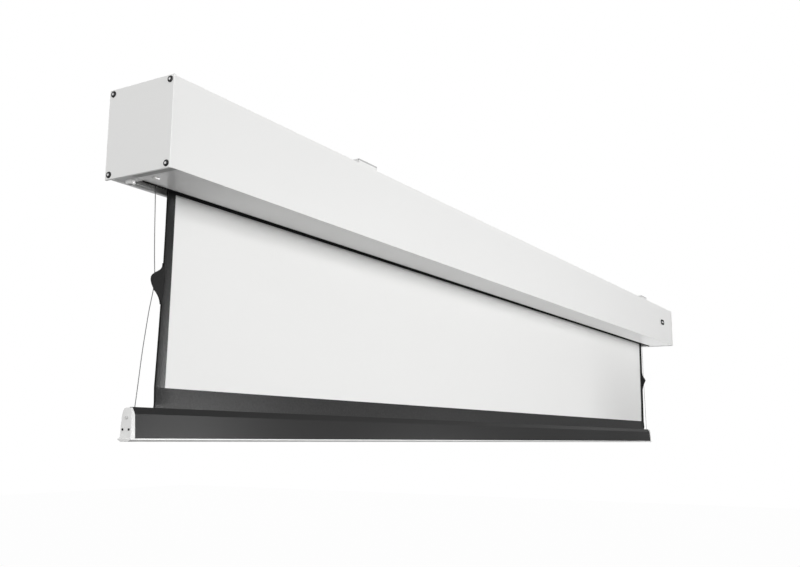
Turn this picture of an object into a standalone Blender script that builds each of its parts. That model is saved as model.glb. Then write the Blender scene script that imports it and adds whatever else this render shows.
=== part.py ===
"""Motorized projector screen with side tension cords, partly lowered.

X runs along the case, the front faces -Y and +Z is up. The origin is midway between the two
clamp brackets, on the plane that their tops rest against. Each group of pieces hangs on an empty:
the case on its lower front left corner, the roller on its axis, the weight bar on the foot of the
fabric's plane, and each clamp bracket on its own middle.
"""
import math

import bmesh
import bpy
from mathutils import Vector

# Gap between pieces that touch
SEAT = 0.0003

# Case
CASE_LENGTH = 2.900
CASE_HEIGHT = 0.146
CASE_DEPTH = 0.138
PLATE_THICKNESS = 0.004
PLATE_OVERHANG = 0.001
PLATE_REAR_OVERHANG = 0.002
PLATE_EDGE_BEVEL = 0.0006
WALL = 0.002
REAR_CORNER_RADIUS = 0.005

# Screw ports of the extrusions and the plate screws in them
PORT_RADIUS = 0.0045
PORT_OFFSET = 0.0043
PORT_BORE = 0.0027
PLATE_SCREW_HEAD_RADIUS = 0.00525
PLATE_SCREW_HEAD_HEIGHT = 0.0021
PLATE_SCREW_LENGTH = 0.016
SOCKET_RADIUS = 0.0023
SOCKET_DEPTH = 0.0014

# Clamp grooves in the top and the tongued seam between the two extrusions
GROOVE_INSET = 0.014
GROOVE_OPENING = 0.0035
GROOVE_UNDERCUT = 0.0017
GROOVE_LIP = 0.0024
GROOVE_CAVITY = 0.004
GROOVE_WALL = 0.0018
TONGUE_LENGTH = 0.0064
TONGUE_THICKNESS = 0.002
TONGUE_COVER = 0.0012

# Roller and its bearings
ROLLER_ABOVE_BOTTOM = 0.076
TUBE_RADIUS = 0.038
TUBE_WALL = 0.0015
TUBE_END_SETBACK = 0.0523
KEY_HALF_WIDTH = 0.002
KEY_DEPTH = 0.003
FABRIC_WRAP = 0.0021
MOTOR_RADIUS = 0.0225
MOTOR_HEAD_RADIUS = 0.026
MOTOR_HEAD_LENGTH = 0.028
MOTOR_LENGTH = 0.524
MOTOR_PEG = 0.010
BRACKET_PLATE = 0.003
BRACKET_FOOT = 0.037
BRACKET_TOE = 0.010
BRACKET_HALF_DEPTH = 0.038
BRACKET_SIDE = 0.030
BRACKET_HEAD = 0.024
SHAFT_RADIUS = 0.006
SHAFT_LENGTH = 0.040
WHEEL_LENGTH = 0.026
CROWN_LENGTH = 0.020
CROWN_RUNNING_GAP = 0.0005
PIN_RADIUS = 0.006
PLUG_LENGTH = 0.024
BEARING_RADIUS = 0.014
BEARING_LENGTH = 0.010
HUB_WALL = 0.004

# Fabric, its side strips and the tension cords
SHEET_THICKNESS = 0.0005
STRIP_THICKNESS = 0.0004
PICTURE_MARGIN = 0.1217
LOWER_BAND_HEIGHT = 0.032
UPPER_BAND_ABOVE_CASE_FOOT = 0.0015
SHEET_UNDER_STRIP = 0.009
STRIP_OUTER_MARGIN = 0.1003
STRIP_FLARE = 0.0036
STRIP_FLARE_START = 0.060
TAB_BELOW_CASE = 0.1500
TAB_REACH = 0.0286
TAB_HALF_HEIGHT = 0.0335
CORD_RADIUS = 0.0007
CORD_TOP_MARGIN = 0.074
CORD_TAB_MARGIN = 0.0835
CORD_FOOT_MARGIN = 0.0603
CORD_LAST_RUN = 0.010
CORD_TURNS = 6

# Weight bar, measured from its underside and from the fabric's plane
BAR_BELOW_CASE = 0.3993
BAR_END_MARGIN = 0.0434
BAR_HEIGHT = 0.0521
BAR_FOOT_HALF = 0.0119
BAR_SHOULDER_HALF = 0.0091
BAR_SHOULDER_HEIGHT = 0.0415
BAR_RIDGE_HALF = 0.0028
BAR_SLOT_HALF = 0.0015
BAR_WALL = 0.0016
BAR_WEB = 0.0015
RAIL_HALF = 0.0140
RAIL_HEIGHT = 0.0047
RAIL_CHAMFER = 0.0029
RAIL_CHAMFER_WIDTH = 0.0060
RAIL_WEB_HEIGHT = 0.0066
RAIL_WEB_THICKNESS = 0.0014
CAP_THICKNESS = 0.0084
CAP_HALF = 0.0114
CAP_TOP_HALF = 0.0074
CAP_SHOULDER_HEIGHT = 0.0395
CAP_FOOT_HALF = 0.0140
CAP_FOOT_HEIGHT = 0.006
CAP_FLANGE_REACH = 0.0028
CAP_SCREW_OFFSET = 0.0066
CAP_SCREW_HEIGHT = 0.0181
CAP_SCREW_RADIUS = 0.0019
CAP_SCREW_SHANK = 0.0010
CAP_SCREW_LENGTH = 0.018
BAR_PORT_RADIUS = 0.0030
TENSIONER_HEIGHT = 0.0359
TENSIONER_HEAD_RADIUS = 0.0025
TENSIONER_SHANK_RADIUS = 0.0015
TENSIONER_BARREL_RADIUS = 0.0030
TENSIONER_BARREL_LENGTH = 0.010
HEM_ROD_RADIUS = 0.0025
HEM_FABRIC = 0.0005
BALLAST_RADIUS = 0.006
BALLAST_SETBACK = 0.030

# Slot in the underside
SLOT_AHEAD_OF_FABRIC = 0.0223
RAIL_DEPTH = 0.01235
BAR_CLEARANCE = 0.001
FLANGE_LIP_HEIGHT = 0.007
RAIL_LIP_HEIGHT = 0.0110
RAIL_LIP_WALL = 0.0012
RAIL_LIP_CHAMFER = 0.0010
RAIL_GROOVE_HEIGHT = 0.0036
RAIL_GROOVE = 0.0006
WIPER_DEPTH = 0.005
WIPER_DROP = 0.003
FILLER_LENGTH = 0.0287
FILLER_LEDGE = 0.0017
GLAND_FROM_END = 0.024
GLAND_HEAD_RADIUS = 0.0075
GLAND_NECK_RADIUS = 0.0050
GLAND_BORE = 0.0035
GLAND_HEAD_HEIGHT = 0.0062
PLUG_FROM_END = 0.0325
PLUG_FROM_FRONT = 0.0615
PLUG_SIZE = (0.012, 0.008)
PLUG_HEAD = 0.0028
PLUG_RIM = 0.0012

# Infrared window in the front face
WINDOW_FROM_END = 0.150
WINDOW_ABOVE_BOTTOM = 0.083
WINDOW_SIZE = (0.044, 0.020)
WINDOW_CORNER = 0.0095
WINDOW_RIM = 0.002
WINDOW_PROUD = 0.0015
MODULE_SIZE = (0.050, 0.006, 0.026)
LEAD_RADIUS = 0.0025
LEAD_BELOW_TOP = 0.024
LEAD_CLEARANCE = 0.0015

# Clamp brackets on top
CLAMP_FROM_LEFT = 0.541
CLAMP_FROM_RIGHT = 0.396
CLAMP_WIDTH = 0.066
CLAMP_RISE = 0.009
CLAMP_SHEET = 0.0025
CLAMP_FRONT_SETBACK = 0.003
CLAMP_REAR_SETBACK = 0.006
CLAMP_HOOK = 0.0027
CLAMP_SLOT = (0.007, 0.022)
CLAMP_SLOT_FROM_MIDDLE = 0.026
JAW_LENGTH = 0.0136
JAW_UPSTAND = 0.004
JAW_WIDTH = 0.040
CLAMP_SCREW_RADIUS = 0.0014
CLAMP_SCREW_HEAD_RADIUS = 0.0030
CLAMP_SCREW_HEAD_HEIGHT = 0.0030

# Sizes that follow from those above
SKIN_FRONT = PLATE_OVERHANG
SKIN_BACK = CASE_DEPTH - PLATE_REAR_OVERHANG
SKIN_BOTTOM = PLATE_OVERHANG
SKIN_TOP = CASE_HEIGHT - PLATE_OVERHANG
INNER_FRONT = SKIN_FRONT + WALL
INNER_BACK = SKIN_BACK - WALL
INNER_BOTTOM = SKIN_BOTTOM + WALL
INNER_TOP = SKIN_TOP - WALL
BODY_START = PLATE_THICKNESS + SEAT
BODY_END = CASE_LENGTH - BODY_START
PORT_FRONT = INNER_FRONT + PORT_OFFSET
PORT_BACK = INNER_BACK - PORT_OFFSET
PORT_LOW = INNER_BOTTOM + PORT_OFFSET
PORT_HIGH = INNER_TOP - PORT_OFFSET
SEAM = SKIN_FRONT + GROOVE_INSET + GROOVE_OPENING + GROOVE_WALL + SEAT
WOUND_RADIUS = TUBE_RADIUS + SEAT + FABRIC_WRAP
STRIP_FRONT = SHEET_THICKNESS / 2 + SEAT + STRIP_THICKNESS
SLOT_BACK = SKIN_BACK - RAIL_DEPTH
FABRIC_PLANE = SLOT_BACK - BAR_CLEARANCE - RAIL_HALF
ROLLER_FROM_FRONT = FABRIC_PLANE - STRIP_FRONT - SEAT - WOUND_RADIUS
CORD_BEHIND = CORD_RADIUS - SHEET_THICKNESS / 2
SLOT_FRONT = FABRIC_PLANE - SLOT_AHEAD_OF_FABRIC
FILLER_END = BODY_START + FILLER_LENGTH
BAR_START = BAR_END_MARGIN + CAP_THICKNESS
FACE_SLOPE = (BAR_FOOT_HALF - BAR_SHOULDER_HALF) / (BAR_SHOULDER_HEIGHT - RAIL_HEIGHT - SEAT)
CLAMP_BASE = SKIN_TOP + SEAT
CLAMP_TOP = CASE_HEIGHT + CLAMP_RISE
CLAMP_SCREW_HEIGHT = (CLAMP_BASE + CLAMP_TOP - SEAT) / 2


def clear_scene():
    for found in list(bpy.data.objects):
        bpy.data.objects.remove(found, do_unlink=True)


def material(name, colour, roughness, metallic=0.0):
    made = bpy.data.materials.new(name)
    made.use_nodes = True
    shader = made.node_tree.nodes["Principled BSDF"]
    shader.inputs["Base Color"].default_value = (*colour, 1.0)
    shader.inputs["Roughness"].default_value = roughness
    shader.inputs["Metallic"].default_value = metallic
    return made


def group(name, location):
    empty = bpy.data.objects.new(name, None)
    empty.location = location
    bpy.context.scene.collection.objects.link(empty)
    return empty


def add_object(name, mesh_or_curve, finish, parent):
    made = bpy.data.objects.new(name, mesh_or_curve)
    bpy.context.scene.collection.objects.link(made)
    made.data.materials.append(finish)
    made.parent = parent
    return made


def finish_mesh(bm, name, finish, parent, smooth=False):
    bmesh.ops.recalc_face_normals(bm, faces=bm.faces)
    mesh = bpy.data.meshes.new(name)
    bm.to_mesh(mesh)
    bm.free()
    if smooth:
        mesh.shade_smooth()
        mesh.set_sharp_from_angle(angle=math.radians(35))
    return add_object(name, mesh, finish, parent)


def place(axis, along, point):
    """A point of an outline, put at a distance along the axis that the outline is drawn across."""
    a, b = point
    return {"X": (along, a, b), "Y": (a, along, b), "Z": (a, b, along)}[axis]


def extrude(name, axis, loops, start, end, finish, parent, bevel_end=None, smooth=False):
    """A solid of one outline and any holes in it, drawn across the axis, from start to end.

    bevel_end names the end, start or end, whose outer edge is eased.
    """
    bm = bmesh.new()
    ends = {}
    for which, along in (("start", start), ("end", end)):
        ends[which] = [[bm.verts.new(place(axis, along, p)) for p in loop] for loop in loops]
    for low, high in zip(ends["start"], ends["end"]):
        count = len(low)
        for i in range(count):
            j = (i + 1) % count
            bm.faces.new((low[i], low[j], high[j], high[i]))
    for which in ("start", "end"):
        if len(loops) == 1:
            bm.faces.new(ends[which][0])
            continue
        edges = []
        for ring in ends[which]:
            edges += [bm.edges.get((ring[i - 1], ring[i])) for i in range(len(ring))]
        normal = {"X": (1, 0, 0), "Y": (0, 1, 0), "Z": (0, 0, 1)}[axis]
        bmesh.ops.triangle_fill(bm, edges=edges, use_beauty=True, normal=normal)
    if bevel_end:
        bmesh.ops.recalc_face_normals(bm, faces=bm.faces)
        ring = ends[bevel_end][0]
        edges = [bm.edges.get((ring[i - 1], ring[i])) for i in range(len(ring))]
        bmesh.ops.bevel(bm, geom=edges, offset=PLATE_EDGE_BEVEL, segments=2, profile=0.5, affect="EDGES")
    return finish_mesh(bm, name, finish, parent, smooth)


def turn(name, axis, profile, finish, parent, centre=(0.0, 0.0), sides=32, closed=False):
    """A turned solid about the axis. The profile is a list of (along, radius) points.

    A closed profile makes a ring, and an open one starts and ends on the axis.
    """
    bm = bmesh.new()
    rings = []
    for along, radius in profile:
        if radius == 0:
            rings.append([bm.verts.new(place(axis, along, centre))])
            continue
        points = [(centre[0] + radius * math.cos(2 * math.pi * k / sides),
                   centre[1] + radius * math.sin(2 * math.pi * k / sides)) for k in range(sides)]
        rings.append([bm.verts.new(place(axis, along, p)) for p in points])
    pairs = list(zip(rings, rings[1:]))
    if closed:
        pairs.append((rings[-1], rings[0]))
    for a, b in pairs:
        for k in range(sides):
            n = (k + 1) % sides
            corners = [a[k % len(a)], a[n % len(a)], b[n % len(b)], b[k % len(b)]]
            bm.faces.new(list(dict.fromkeys(corners)))
    return finish_mesh(bm, name, finish, parent, smooth=True)


def ring_profile(start, end, inner, outer):
    return [(start, inner), (end, inner), (end, outer), (start, outer)]


def rod_profile(start, end, radius):
    return [(start, 0), (start, radius), (end, radius), (end, 0)]


def rectangle(low_a, high_a, low_b, high_b):
    return [(low_a, low_b), (high_a, low_b), (high_a, high_b), (low_a, high_b)]


def arc(centre, radius, first, last, count):
    """Points of an arc from the first to the last angle in degrees, both ends included."""
    steps = [math.radians(first + (last - first) * k / count) for k in range(count + 1)]
    return [(centre[0] + radius * math.cos(a), centre[1] + radius * math.sin(a)) for a in steps]


def circle(centre, radius, count):
    return arc(centre, radius, 0, 360, count)[:-1]


def rounded(centre, width, height, radius, count=4):
    """A rectangle with round corners."""
    a, b = width / 2 - radius, height / 2 - radius
    points = []
    for quarter, (side, up) in enumerate(((1, 1), (-1, 1), (-1, -1), (1, -1))):
        corner = (centre[0] + side * a, centre[1] + up * b)
        points += arc(corner, radius, 90 * quarter, 90 * quarter + 90, count)
    return points


def stadium(centre, width, height):
    """A slot's outline with round ends, wider than it is high."""
    radius = height / 2
    reach = (width - height) / 2
    right = arc((centre[0] + reach, centre[1]), radius, -90, 90, 8)
    left = arc((centre[0] - reach, centre[1]), radius, 90, 270, 8)
    return right + left


def cut(target, cutter):
    cutter.hide_render = True
    cutter.display_type = "WIRE"
    modifier = target.modifiers.new("cut", "BOOLEAN")
    modifier.operation = "DIFFERENCE"
    modifier.solver = "EXACT"
    modifier.object = cutter


def unite(target, other):
    other.hide_render = True
    other.display_type = "WIRE"
    modifier = target.modifiers.new("unite", "BOOLEAN")
    modifier.operation = "UNION"
    modifier.solver = "EXACT"
    modifier.object = other


def screw_port(centre, inward, radius, offset, bore, turn_way=1):
    """The inner outline round an open screw port in a corner.

    It runs from one wall round the port to the other, in at the slit that faces inward, round the
    bore and out again. turn_way is 1 for anticlockwise and -1 for clockwise.
    """
    reach = 135 - math.degrees(math.acos(offset / radius))
    slit = 15
    bore_slit = math.degrees(math.asin(min(1.0, radius * math.sin(math.radians(slit)) / bore)))
    first = arc(centre, radius, inward - turn_way * reach, inward - turn_way * slit, 6)
    inside = arc(centre, bore, inward - turn_way * bore_slit, inward - turn_way * (360 - bore_slit), 14)
    last = arc(centre, radius, inward + turn_way * slit, inward + turn_way * reach, 6)
    return first + inside + last


def front_cover_outline():
    groove = SKIN_FRONT + GROOVE_INSET
    floor = SKIN_TOP - GROOVE_LIP - GROOVE_CAVITY
    tongue_top = INNER_TOP - SEAT
    outside = [
        (SKIN_FRONT, SKIN_BOTTOM),
        (SKIN_FRONT, SKIN_TOP),
        (groove, SKIN_TOP),
        (groove, SKIN_TOP - GROOVE_LIP),
        (groove - GROOVE_UNDERCUT, SKIN_TOP - GROOVE_LIP),
        (groove - GROOVE_UNDERCUT, floor),
        (groove + GROOVE_OPENING, floor),
        (groove + GROOVE_OPENING, SKIN_TOP),
        (SEAM - SEAT, SKIN_TOP),
        (SEAM - SEAT, tongue_top),
        (SEAM - SEAT + TONGUE_LENGTH, tongue_top),
        (SEAM - SEAT + TONGUE_LENGTH, tongue_top - TONGUE_THICKNESS),
        (SEAM - SEAT, tongue_top - TONGUE_THICKNESS),
        (SEAM - SEAT, floor - WALL),
        (groove - GROOVE_UNDERCUT - GROOVE_WALL, floor - WALL),
        (groove - GROOVE_UNDERCUT - GROOVE_WALL, INNER_TOP),
    ]
    upper = screw_port((PORT_FRONT, PORT_HIGH), -45, PORT_RADIUS, PORT_OFFSET, PORT_BORE, -1)
    lower = screw_port((PORT_FRONT, PORT_LOW), 45, PORT_RADIUS, PORT_OFFSET, PORT_BORE, -1)
    flange = [
        (SLOT_FRONT - WALL, INNER_BOTTOM),
        (SLOT_FRONT - WALL, SKIN_BOTTOM + FLANGE_LIP_HEIGHT),
        (SLOT_FRONT, SKIN_BOTTOM + FLANGE_LIP_HEIGHT),
        (SLOT_FRONT, SKIN_BOTTOM),
    ]
    return outside + upper + lower + flange


def rear_housing_outline():
    groove = SKIN_BACK - GROOVE_INSET
    floor = SKIN_TOP - GROOVE_LIP - GROOVE_CAVITY
    socket_back = SEAM - SEAT + TONGUE_LENGTH + SEAT
    lip_top = INNER_TOP - SEAT - TONGUE_THICKNESS - SEAT
    lip_front = SEAM + TONGUE_COVER
    corner = (SKIN_BACK - REAR_CORNER_RADIUS, SKIN_BOTTOM + REAR_CORNER_RADIUS)
    outside = [
        (SEAM, SKIN_TOP),
        (groove - GROOVE_OPENING, SKIN_TOP),
        (groove - GROOVE_OPENING, floor),
        (groove + GROOVE_UNDERCUT, floor),
        (groove + GROOVE_UNDERCUT, SKIN_TOP - GROOVE_LIP),
        (groove, SKIN_TOP - GROOVE_LIP),
        (groove, SKIN_TOP),
        (SKIN_BACK, SKIN_TOP),
    ]
    rail = [
        (SLOT_BACK + RAIL_LIP_CHAMFER, SKIN_BOTTOM),
        (SLOT_BACK, SKIN_BOTTOM + RAIL_LIP_CHAMFER),
        (SLOT_BACK, SKIN_BOTTOM + RAIL_GROOVE_HEIGHT),
        (SLOT_BACK + RAIL_GROOVE, SKIN_BOTTOM + RAIL_GROOVE_HEIGHT),
        (SLOT_BACK + RAIL_GROOVE, SKIN_BOTTOM + RAIL_GROOVE_HEIGHT + RAIL_GROOVE),
        (SLOT_BACK, SKIN_BOTTOM + RAIL_GROOVE_HEIGHT + RAIL_GROOVE),
        (SLOT_BACK, SKIN_BOTTOM + RAIL_LIP_HEIGHT),
        (SLOT_BACK + RAIL_LIP_WALL, SKIN_BOTTOM + RAIL_LIP_HEIGHT),
        (SLOT_BACK + RAIL_LIP_WALL, INNER_BOTTOM),
    ]
    lower = screw_port((PORT_BACK, PORT_LOW), 135, PORT_RADIUS, PORT_OFFSET, PORT_BORE, -1)
    upper = screw_port((PORT_BACK, PORT_HIGH), 225, PORT_RADIUS, PORT_OFFSET, PORT_BORE, -1)
    under_top = [
        (groove + GROOVE_UNDERCUT + GROOVE_WALL, INNER_TOP),
        (groove + GROOVE_UNDERCUT + GROOVE_WALL, floor - WALL),
        (groove - GROOVE_OPENING - GROOVE_WALL, floor - WALL),
        (groove - GROOVE_OPENING - GROOVE_WALL, INNER_TOP),
        (socket_back + TONGUE_COVER, INNER_TOP),
        (socket_back + TONGUE_COVER, lip_top - TONGUE_THICKNESS),
        (lip_front, lip_top - TONGUE_THICKNESS),
        (lip_front, lip_top),
        (socket_back, lip_top),
        (socket_back, INNER_TOP),
        (SEAM, INNER_TOP),
    ]
    return outside + arc(corner, REAR_CORNER_RADIUS, 0, -90, 5) + rail + lower + upper + under_top


def build_case_shells(case, paint):
    rear = extrude("rear_housing", "X", [rear_housing_outline()], BODY_START, BODY_END, paint, case)
    cover = extrude("front_cover", "X", [front_cover_outline()], BODY_START, BODY_END, paint, case)
    return rear, cover


def build_end_plates(case, paint, dark):
    holes = [(y, z) for y in (PORT_FRONT, PORT_BACK) for z in (PORT_LOW, PORT_HIGH)]
    names = ("front_bottom", "front_top", "rear_bottom", "rear_top")
    outline = rectangle(0, CASE_DEPTH, 0, CASE_HEIGHT)
    loops = [outline] + [circle(hole, PORT_BORE, 16) for hole in holes]
    extrude("left_end_plate", "X", loops, 0, PLATE_THICKNESS, paint, case, bevel_end="start")
    extrude("right_end_plate", "X", loops, CASE_LENGTH - PLATE_THICKNESS, CASE_LENGTH, paint, case,
            bevel_end="end")
    for side, face, out in (("left", 0, -1), ("right", CASE_LENGTH, 1)):
        for hole, name in zip(holes, names):
            plate_screw(f"{side}_plate_screw_{name}", face, out, hole, case, dark)


def plate_screw(name, face, out, centre, case, dark):
    """A round-headed socket screw through an end plate into a port. out is the way its head faces."""
    shank = PORT_BORE - SEAT
    seat = face + out * SEAT
    crown = seat + out * PLATE_SCREW_HEAD_HEIGHT
    profile = [
        (seat - out * PLATE_SCREW_LENGTH, 0),
        (seat - out * PLATE_SCREW_LENGTH, shank),
        (seat, shank),
        (seat, PLATE_SCREW_HEAD_RADIUS),
        (seat + out * PLATE_SCREW_HEAD_HEIGHT * 0.35, PLATE_SCREW_HEAD_RADIUS * 0.97),
        (seat + out * PLATE_SCREW_HEAD_HEIGHT * 0.75, PLATE_SCREW_HEAD_RADIUS * 0.80),
        (crown, PLATE_SCREW_HEAD_RADIUS * 0.55),
        (crown, SOCKET_RADIUS),
        (crown - out * SOCKET_DEPTH, SOCKET_RADIUS),
        (crown - out * SOCKET_DEPTH, 0),
    ]
    turn(name, "X", profile, dark, case, centre, sides=12)


def build_slot_pieces(case, cover, plastic, white, rubber):
    """The wiper along the slot, the fillers that close its ends, the gland and the flange's plug."""
    wiper_start = FILLER_END + SEAT
    wiper = [
        (SLOT_FRONT + SEAT, SKIN_BOTTOM + FLANGE_LIP_HEIGHT - WALL),
        (SLOT_FRONT + SEAT, SKIN_BOTTOM - WIPER_DROP),
        (SLOT_FRONT + SEAT + WIPER_DEPTH, SKIN_BOTTOM - WIPER_DROP / 2),
        (SLOT_FRONT + SEAT + WIPER_DEPTH, SKIN_BOTTOM + FLANGE_LIP_HEIGHT - WALL),
    ]
    extrude("slot_wiper", "X", [wiper], wiper_start, CASE_LENGTH - wiper_start, rubber, case)

    front_ledge = SKIN_BOTTOM + FLANGE_LIP_HEIGHT + SEAT
    rear_ledge = SKIN_BOTTOM + RAIL_LIP_HEIGHT + SEAT
    top = max(front_ledge, rear_ledge) + FILLER_LEDGE
    rear_reach = PORT_BACK - PORT_RADIUS - SEAT
    filler = [
        (SLOT_FRONT + SEAT, SKIN_BOTTOM),
        (SLOT_BACK - SEAT, SKIN_BOTTOM),
        (SLOT_BACK - SEAT, rear_ledge),
        (rear_reach, rear_ledge),
        (rear_reach, top),
        (SLOT_FRONT - WALL, top),
        (SLOT_FRONT - WALL, front_ledge),
        (SLOT_FRONT + SEAT, front_ledge),
    ]
    left = extrude("left_slot_filler", "X", [filler], BODY_START, FILLER_END, plastic, case)
    extrude("right_slot_filler", "X", [filler], CASE_LENGTH - FILLER_END, BODY_END, plastic, case)

    gland_centre = (GLAND_FROM_END, FABRIC_PLANE - 0.0015)
    bore = extrude("gland_hole", "Z", [circle(gland_centre, GLAND_NECK_RADIUS + SEAT, 24)],
                   SKIN_BOTTOM - WALL, top + WALL, plastic, case)
    cut(left, bore)
    under = SKIN_BOTTOM - SEAT
    gland = [
        (top + SEAT, GLAND_BORE),
        (top + SEAT, GLAND_NECK_RADIUS),
        (under, GLAND_NECK_RADIUS),
        (under, GLAND_HEAD_RADIUS),
        (under - GLAND_HEAD_HEIGHT * 0.6, GLAND_HEAD_RADIUS),
        (under - GLAND_HEAD_HEIGHT, GLAND_HEAD_RADIUS * 0.8),
        (under - GLAND_HEAD_HEIGHT, GLAND_BORE),
    ]
    turn("cable_gland", "Z", gland, white, case, gland_centre, sides=24, closed=True)

    width, depth = PLUG_SIZE
    neck_x, neck_y = width / 2 - PLUG_RIM, depth / 2 - PLUG_RIM
    x, y = PLUG_FROM_END, PLUG_FROM_FRONT
    hole = rectangle(x - neck_x - SEAT, x + neck_x + SEAT, y - neck_y - SEAT, y + neck_y + SEAT)
    cut(cover, extrude("plug_hole", "Z", [hole], SKIN_BOTTOM - WALL, INNER_BOTTOM + WALL, plastic, case))
    head = rectangle(x - width / 2, x + width / 2, y - depth / 2, y + depth / 2)
    neck = rectangle(x - neck_x, x + neck_x, y - neck_y, y + neck_y)
    plug = extrude("underside_plug", "Z", [head], under - PLUG_HEAD, under, white, case)
    unite(plug, extrude("plug_neck", "Z", [neck], under - PLUG_HEAD / 2, INNER_BOTTOM + SEAT, white, case))


def build_receiver(case, cover, dark, plastic):
    """The infrared window in the front cover, the module behind it and its lead to the motor."""
    x = CASE_LENGTH - WINDOW_FROM_END
    z = WINDOW_ABOVE_BOTTOM
    width, height = WINDOW_SIZE
    neck_width, neck_height = width - 2 * WINDOW_RIM, height - 2 * WINDOW_RIM
    neck_corner = WINDOW_CORNER - WINDOW_RIM
    hole = rounded((x, z), neck_width + 2 * SEAT, neck_height + 2 * SEAT, neck_corner + SEAT)
    cut(cover, extrude("window_hole", "Y", [hole], SKIN_FRONT - WALL, INNER_FRONT + WALL, plastic, case))
    bezel_back = SKIN_FRONT - SEAT
    window = extrude("infrared_window", "Y", [rounded((x, z), width, height, WINDOW_CORNER)],
                     bezel_back - WINDOW_PROUD, bezel_back, dark, case)
    unite(window, extrude("window_neck", "Y", [rounded((x, z), neck_width, neck_height, neck_corner)],
                          bezel_back - WINDOW_PROUD / 2, INNER_FRONT + WALL, dark, case))
    module_front = INNER_FRONT + WALL + SEAT
    half_x, depth, half_z = MODULE_SIZE[0] / 2, MODULE_SIZE[1], MODULE_SIZE[2] / 2
    extrude("receiver_module", "Y", [rectangle(x - half_x, x + half_x, z - half_z, z + half_z)],
            module_front, module_front + depth, plastic, case)

    # The lead leaves the module's left end, climbs into the corner under the front groove and
    # follows the case to the motor's head.
    run_y = INNER_FRONT + LEAD_CLEARANCE + LEAD_RADIUS
    run_z = SKIN_TOP - LEAD_BELOW_TOP
    head_x = BODY_START + BRACKET_PLATE + SEAT + MOTOR_HEAD_LENGTH / 2
    head_top = (ROLLER_FROM_FRONT, ROLLER_ABOVE_BOTTOM + MOTOR_HEAD_RADIUS + SEAT)
    exit_x = x - half_x - SEAT
    route = [
        (exit_x, module_front + depth / 2, z),
        (exit_x - 0.020, module_front + depth / 2, z),
        (exit_x - 0.050, run_y, (z + run_z) / 2),
        (exit_x - 0.090, run_y, run_z),
        (exit_x - 0.140, run_y, run_z),
        (head_x + 0.120, run_y, run_z),
        (head_x + 0.060, run_y + 0.004, run_z + 0.002),
        (head_x + 0.020, (run_y + head_top[0]) / 2, run_z + 0.004),
        (head_x, head_top[0] - 0.006, run_z),
        (head_x, head_top[0], (run_z + head_top[1]) / 2),
        (head_x, head_top[0], head_top[1]),
    ]
    tube("receiver_lead", route, LEAD_RADIUS, 3, dark, case)


def smooth_route(points, per_span):
    """Points read from a smooth curve through the route's own points."""
    ends = [Vector(p) for p in [points[0], *points, points[-1]]]
    route = []
    for a, b, c, d in zip(ends, ends[1:], ends[2:], ends[3:]):
        length = (c - b).length
        leave = (c - a).normalized() * length
        arrive = (d - b).normalized() * length
        for k in range(per_span):
            t = k / per_span
            route.append(b + (c - b) * t * t * (3 - 2 * t)
                         + leave * t * (1 - t) ** 2 - arrive * t * t * (1 - t))
    route.append(ends[-1])
    return route


def tube(name, points, radius, per_span, finish, parent):
    curve = bpy.data.curves.new(name, "CURVE")
    curve.dimensions = "3D"
    curve.bevel_depth = radius
    curve.bevel_resolution = 2
    curve.use_fill_caps = True
    route = smooth_route(points, per_span)
    spline = curve.splines.new("POLY")
    spline.points.add(len(route) - 1)
    for point, where in zip(spline.points, route):
        point.co = (*where, 1.0)
    return add_object(name, curve, finish, parent)


def keyed_outline(radius, half_width, depth, count=60):
    """A circle with a square keyway at the top."""
    edge = math.degrees(math.asin(half_width / radius))
    points = arc((0, 0), radius, 90 + edge, 450 - edge, count)
    return points + [(half_width, radius - depth), (-half_width, radius - depth)]


def end_bracket_outline():
    """The plate inside each end of the case, which fits between its top and its underside flange."""
    y, z = ROLLER_FROM_FRONT, ROLLER_ABOVE_BOTTOM
    return [
        (y - BRACKET_FOOT, INNER_BOTTOM + SEAT),
        (y + BRACKET_TOE, INNER_BOTTOM + SEAT),
        (y + BRACKET_HALF_DEPTH, z - BRACKET_SIDE),
        (y + BRACKET_HALF_DEPTH, z + BRACKET_SIDE),
        (y + BRACKET_HEAD, INNER_TOP - SEAT),
        (y - BRACKET_HEAD, INNER_TOP - SEAT),
        (y - BRACKET_HALF_DEPTH, z + BRACKET_SIDE),
        (y - BRACKET_HALF_DEPTH, z - BRACKET_SIDE),
    ]


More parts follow.
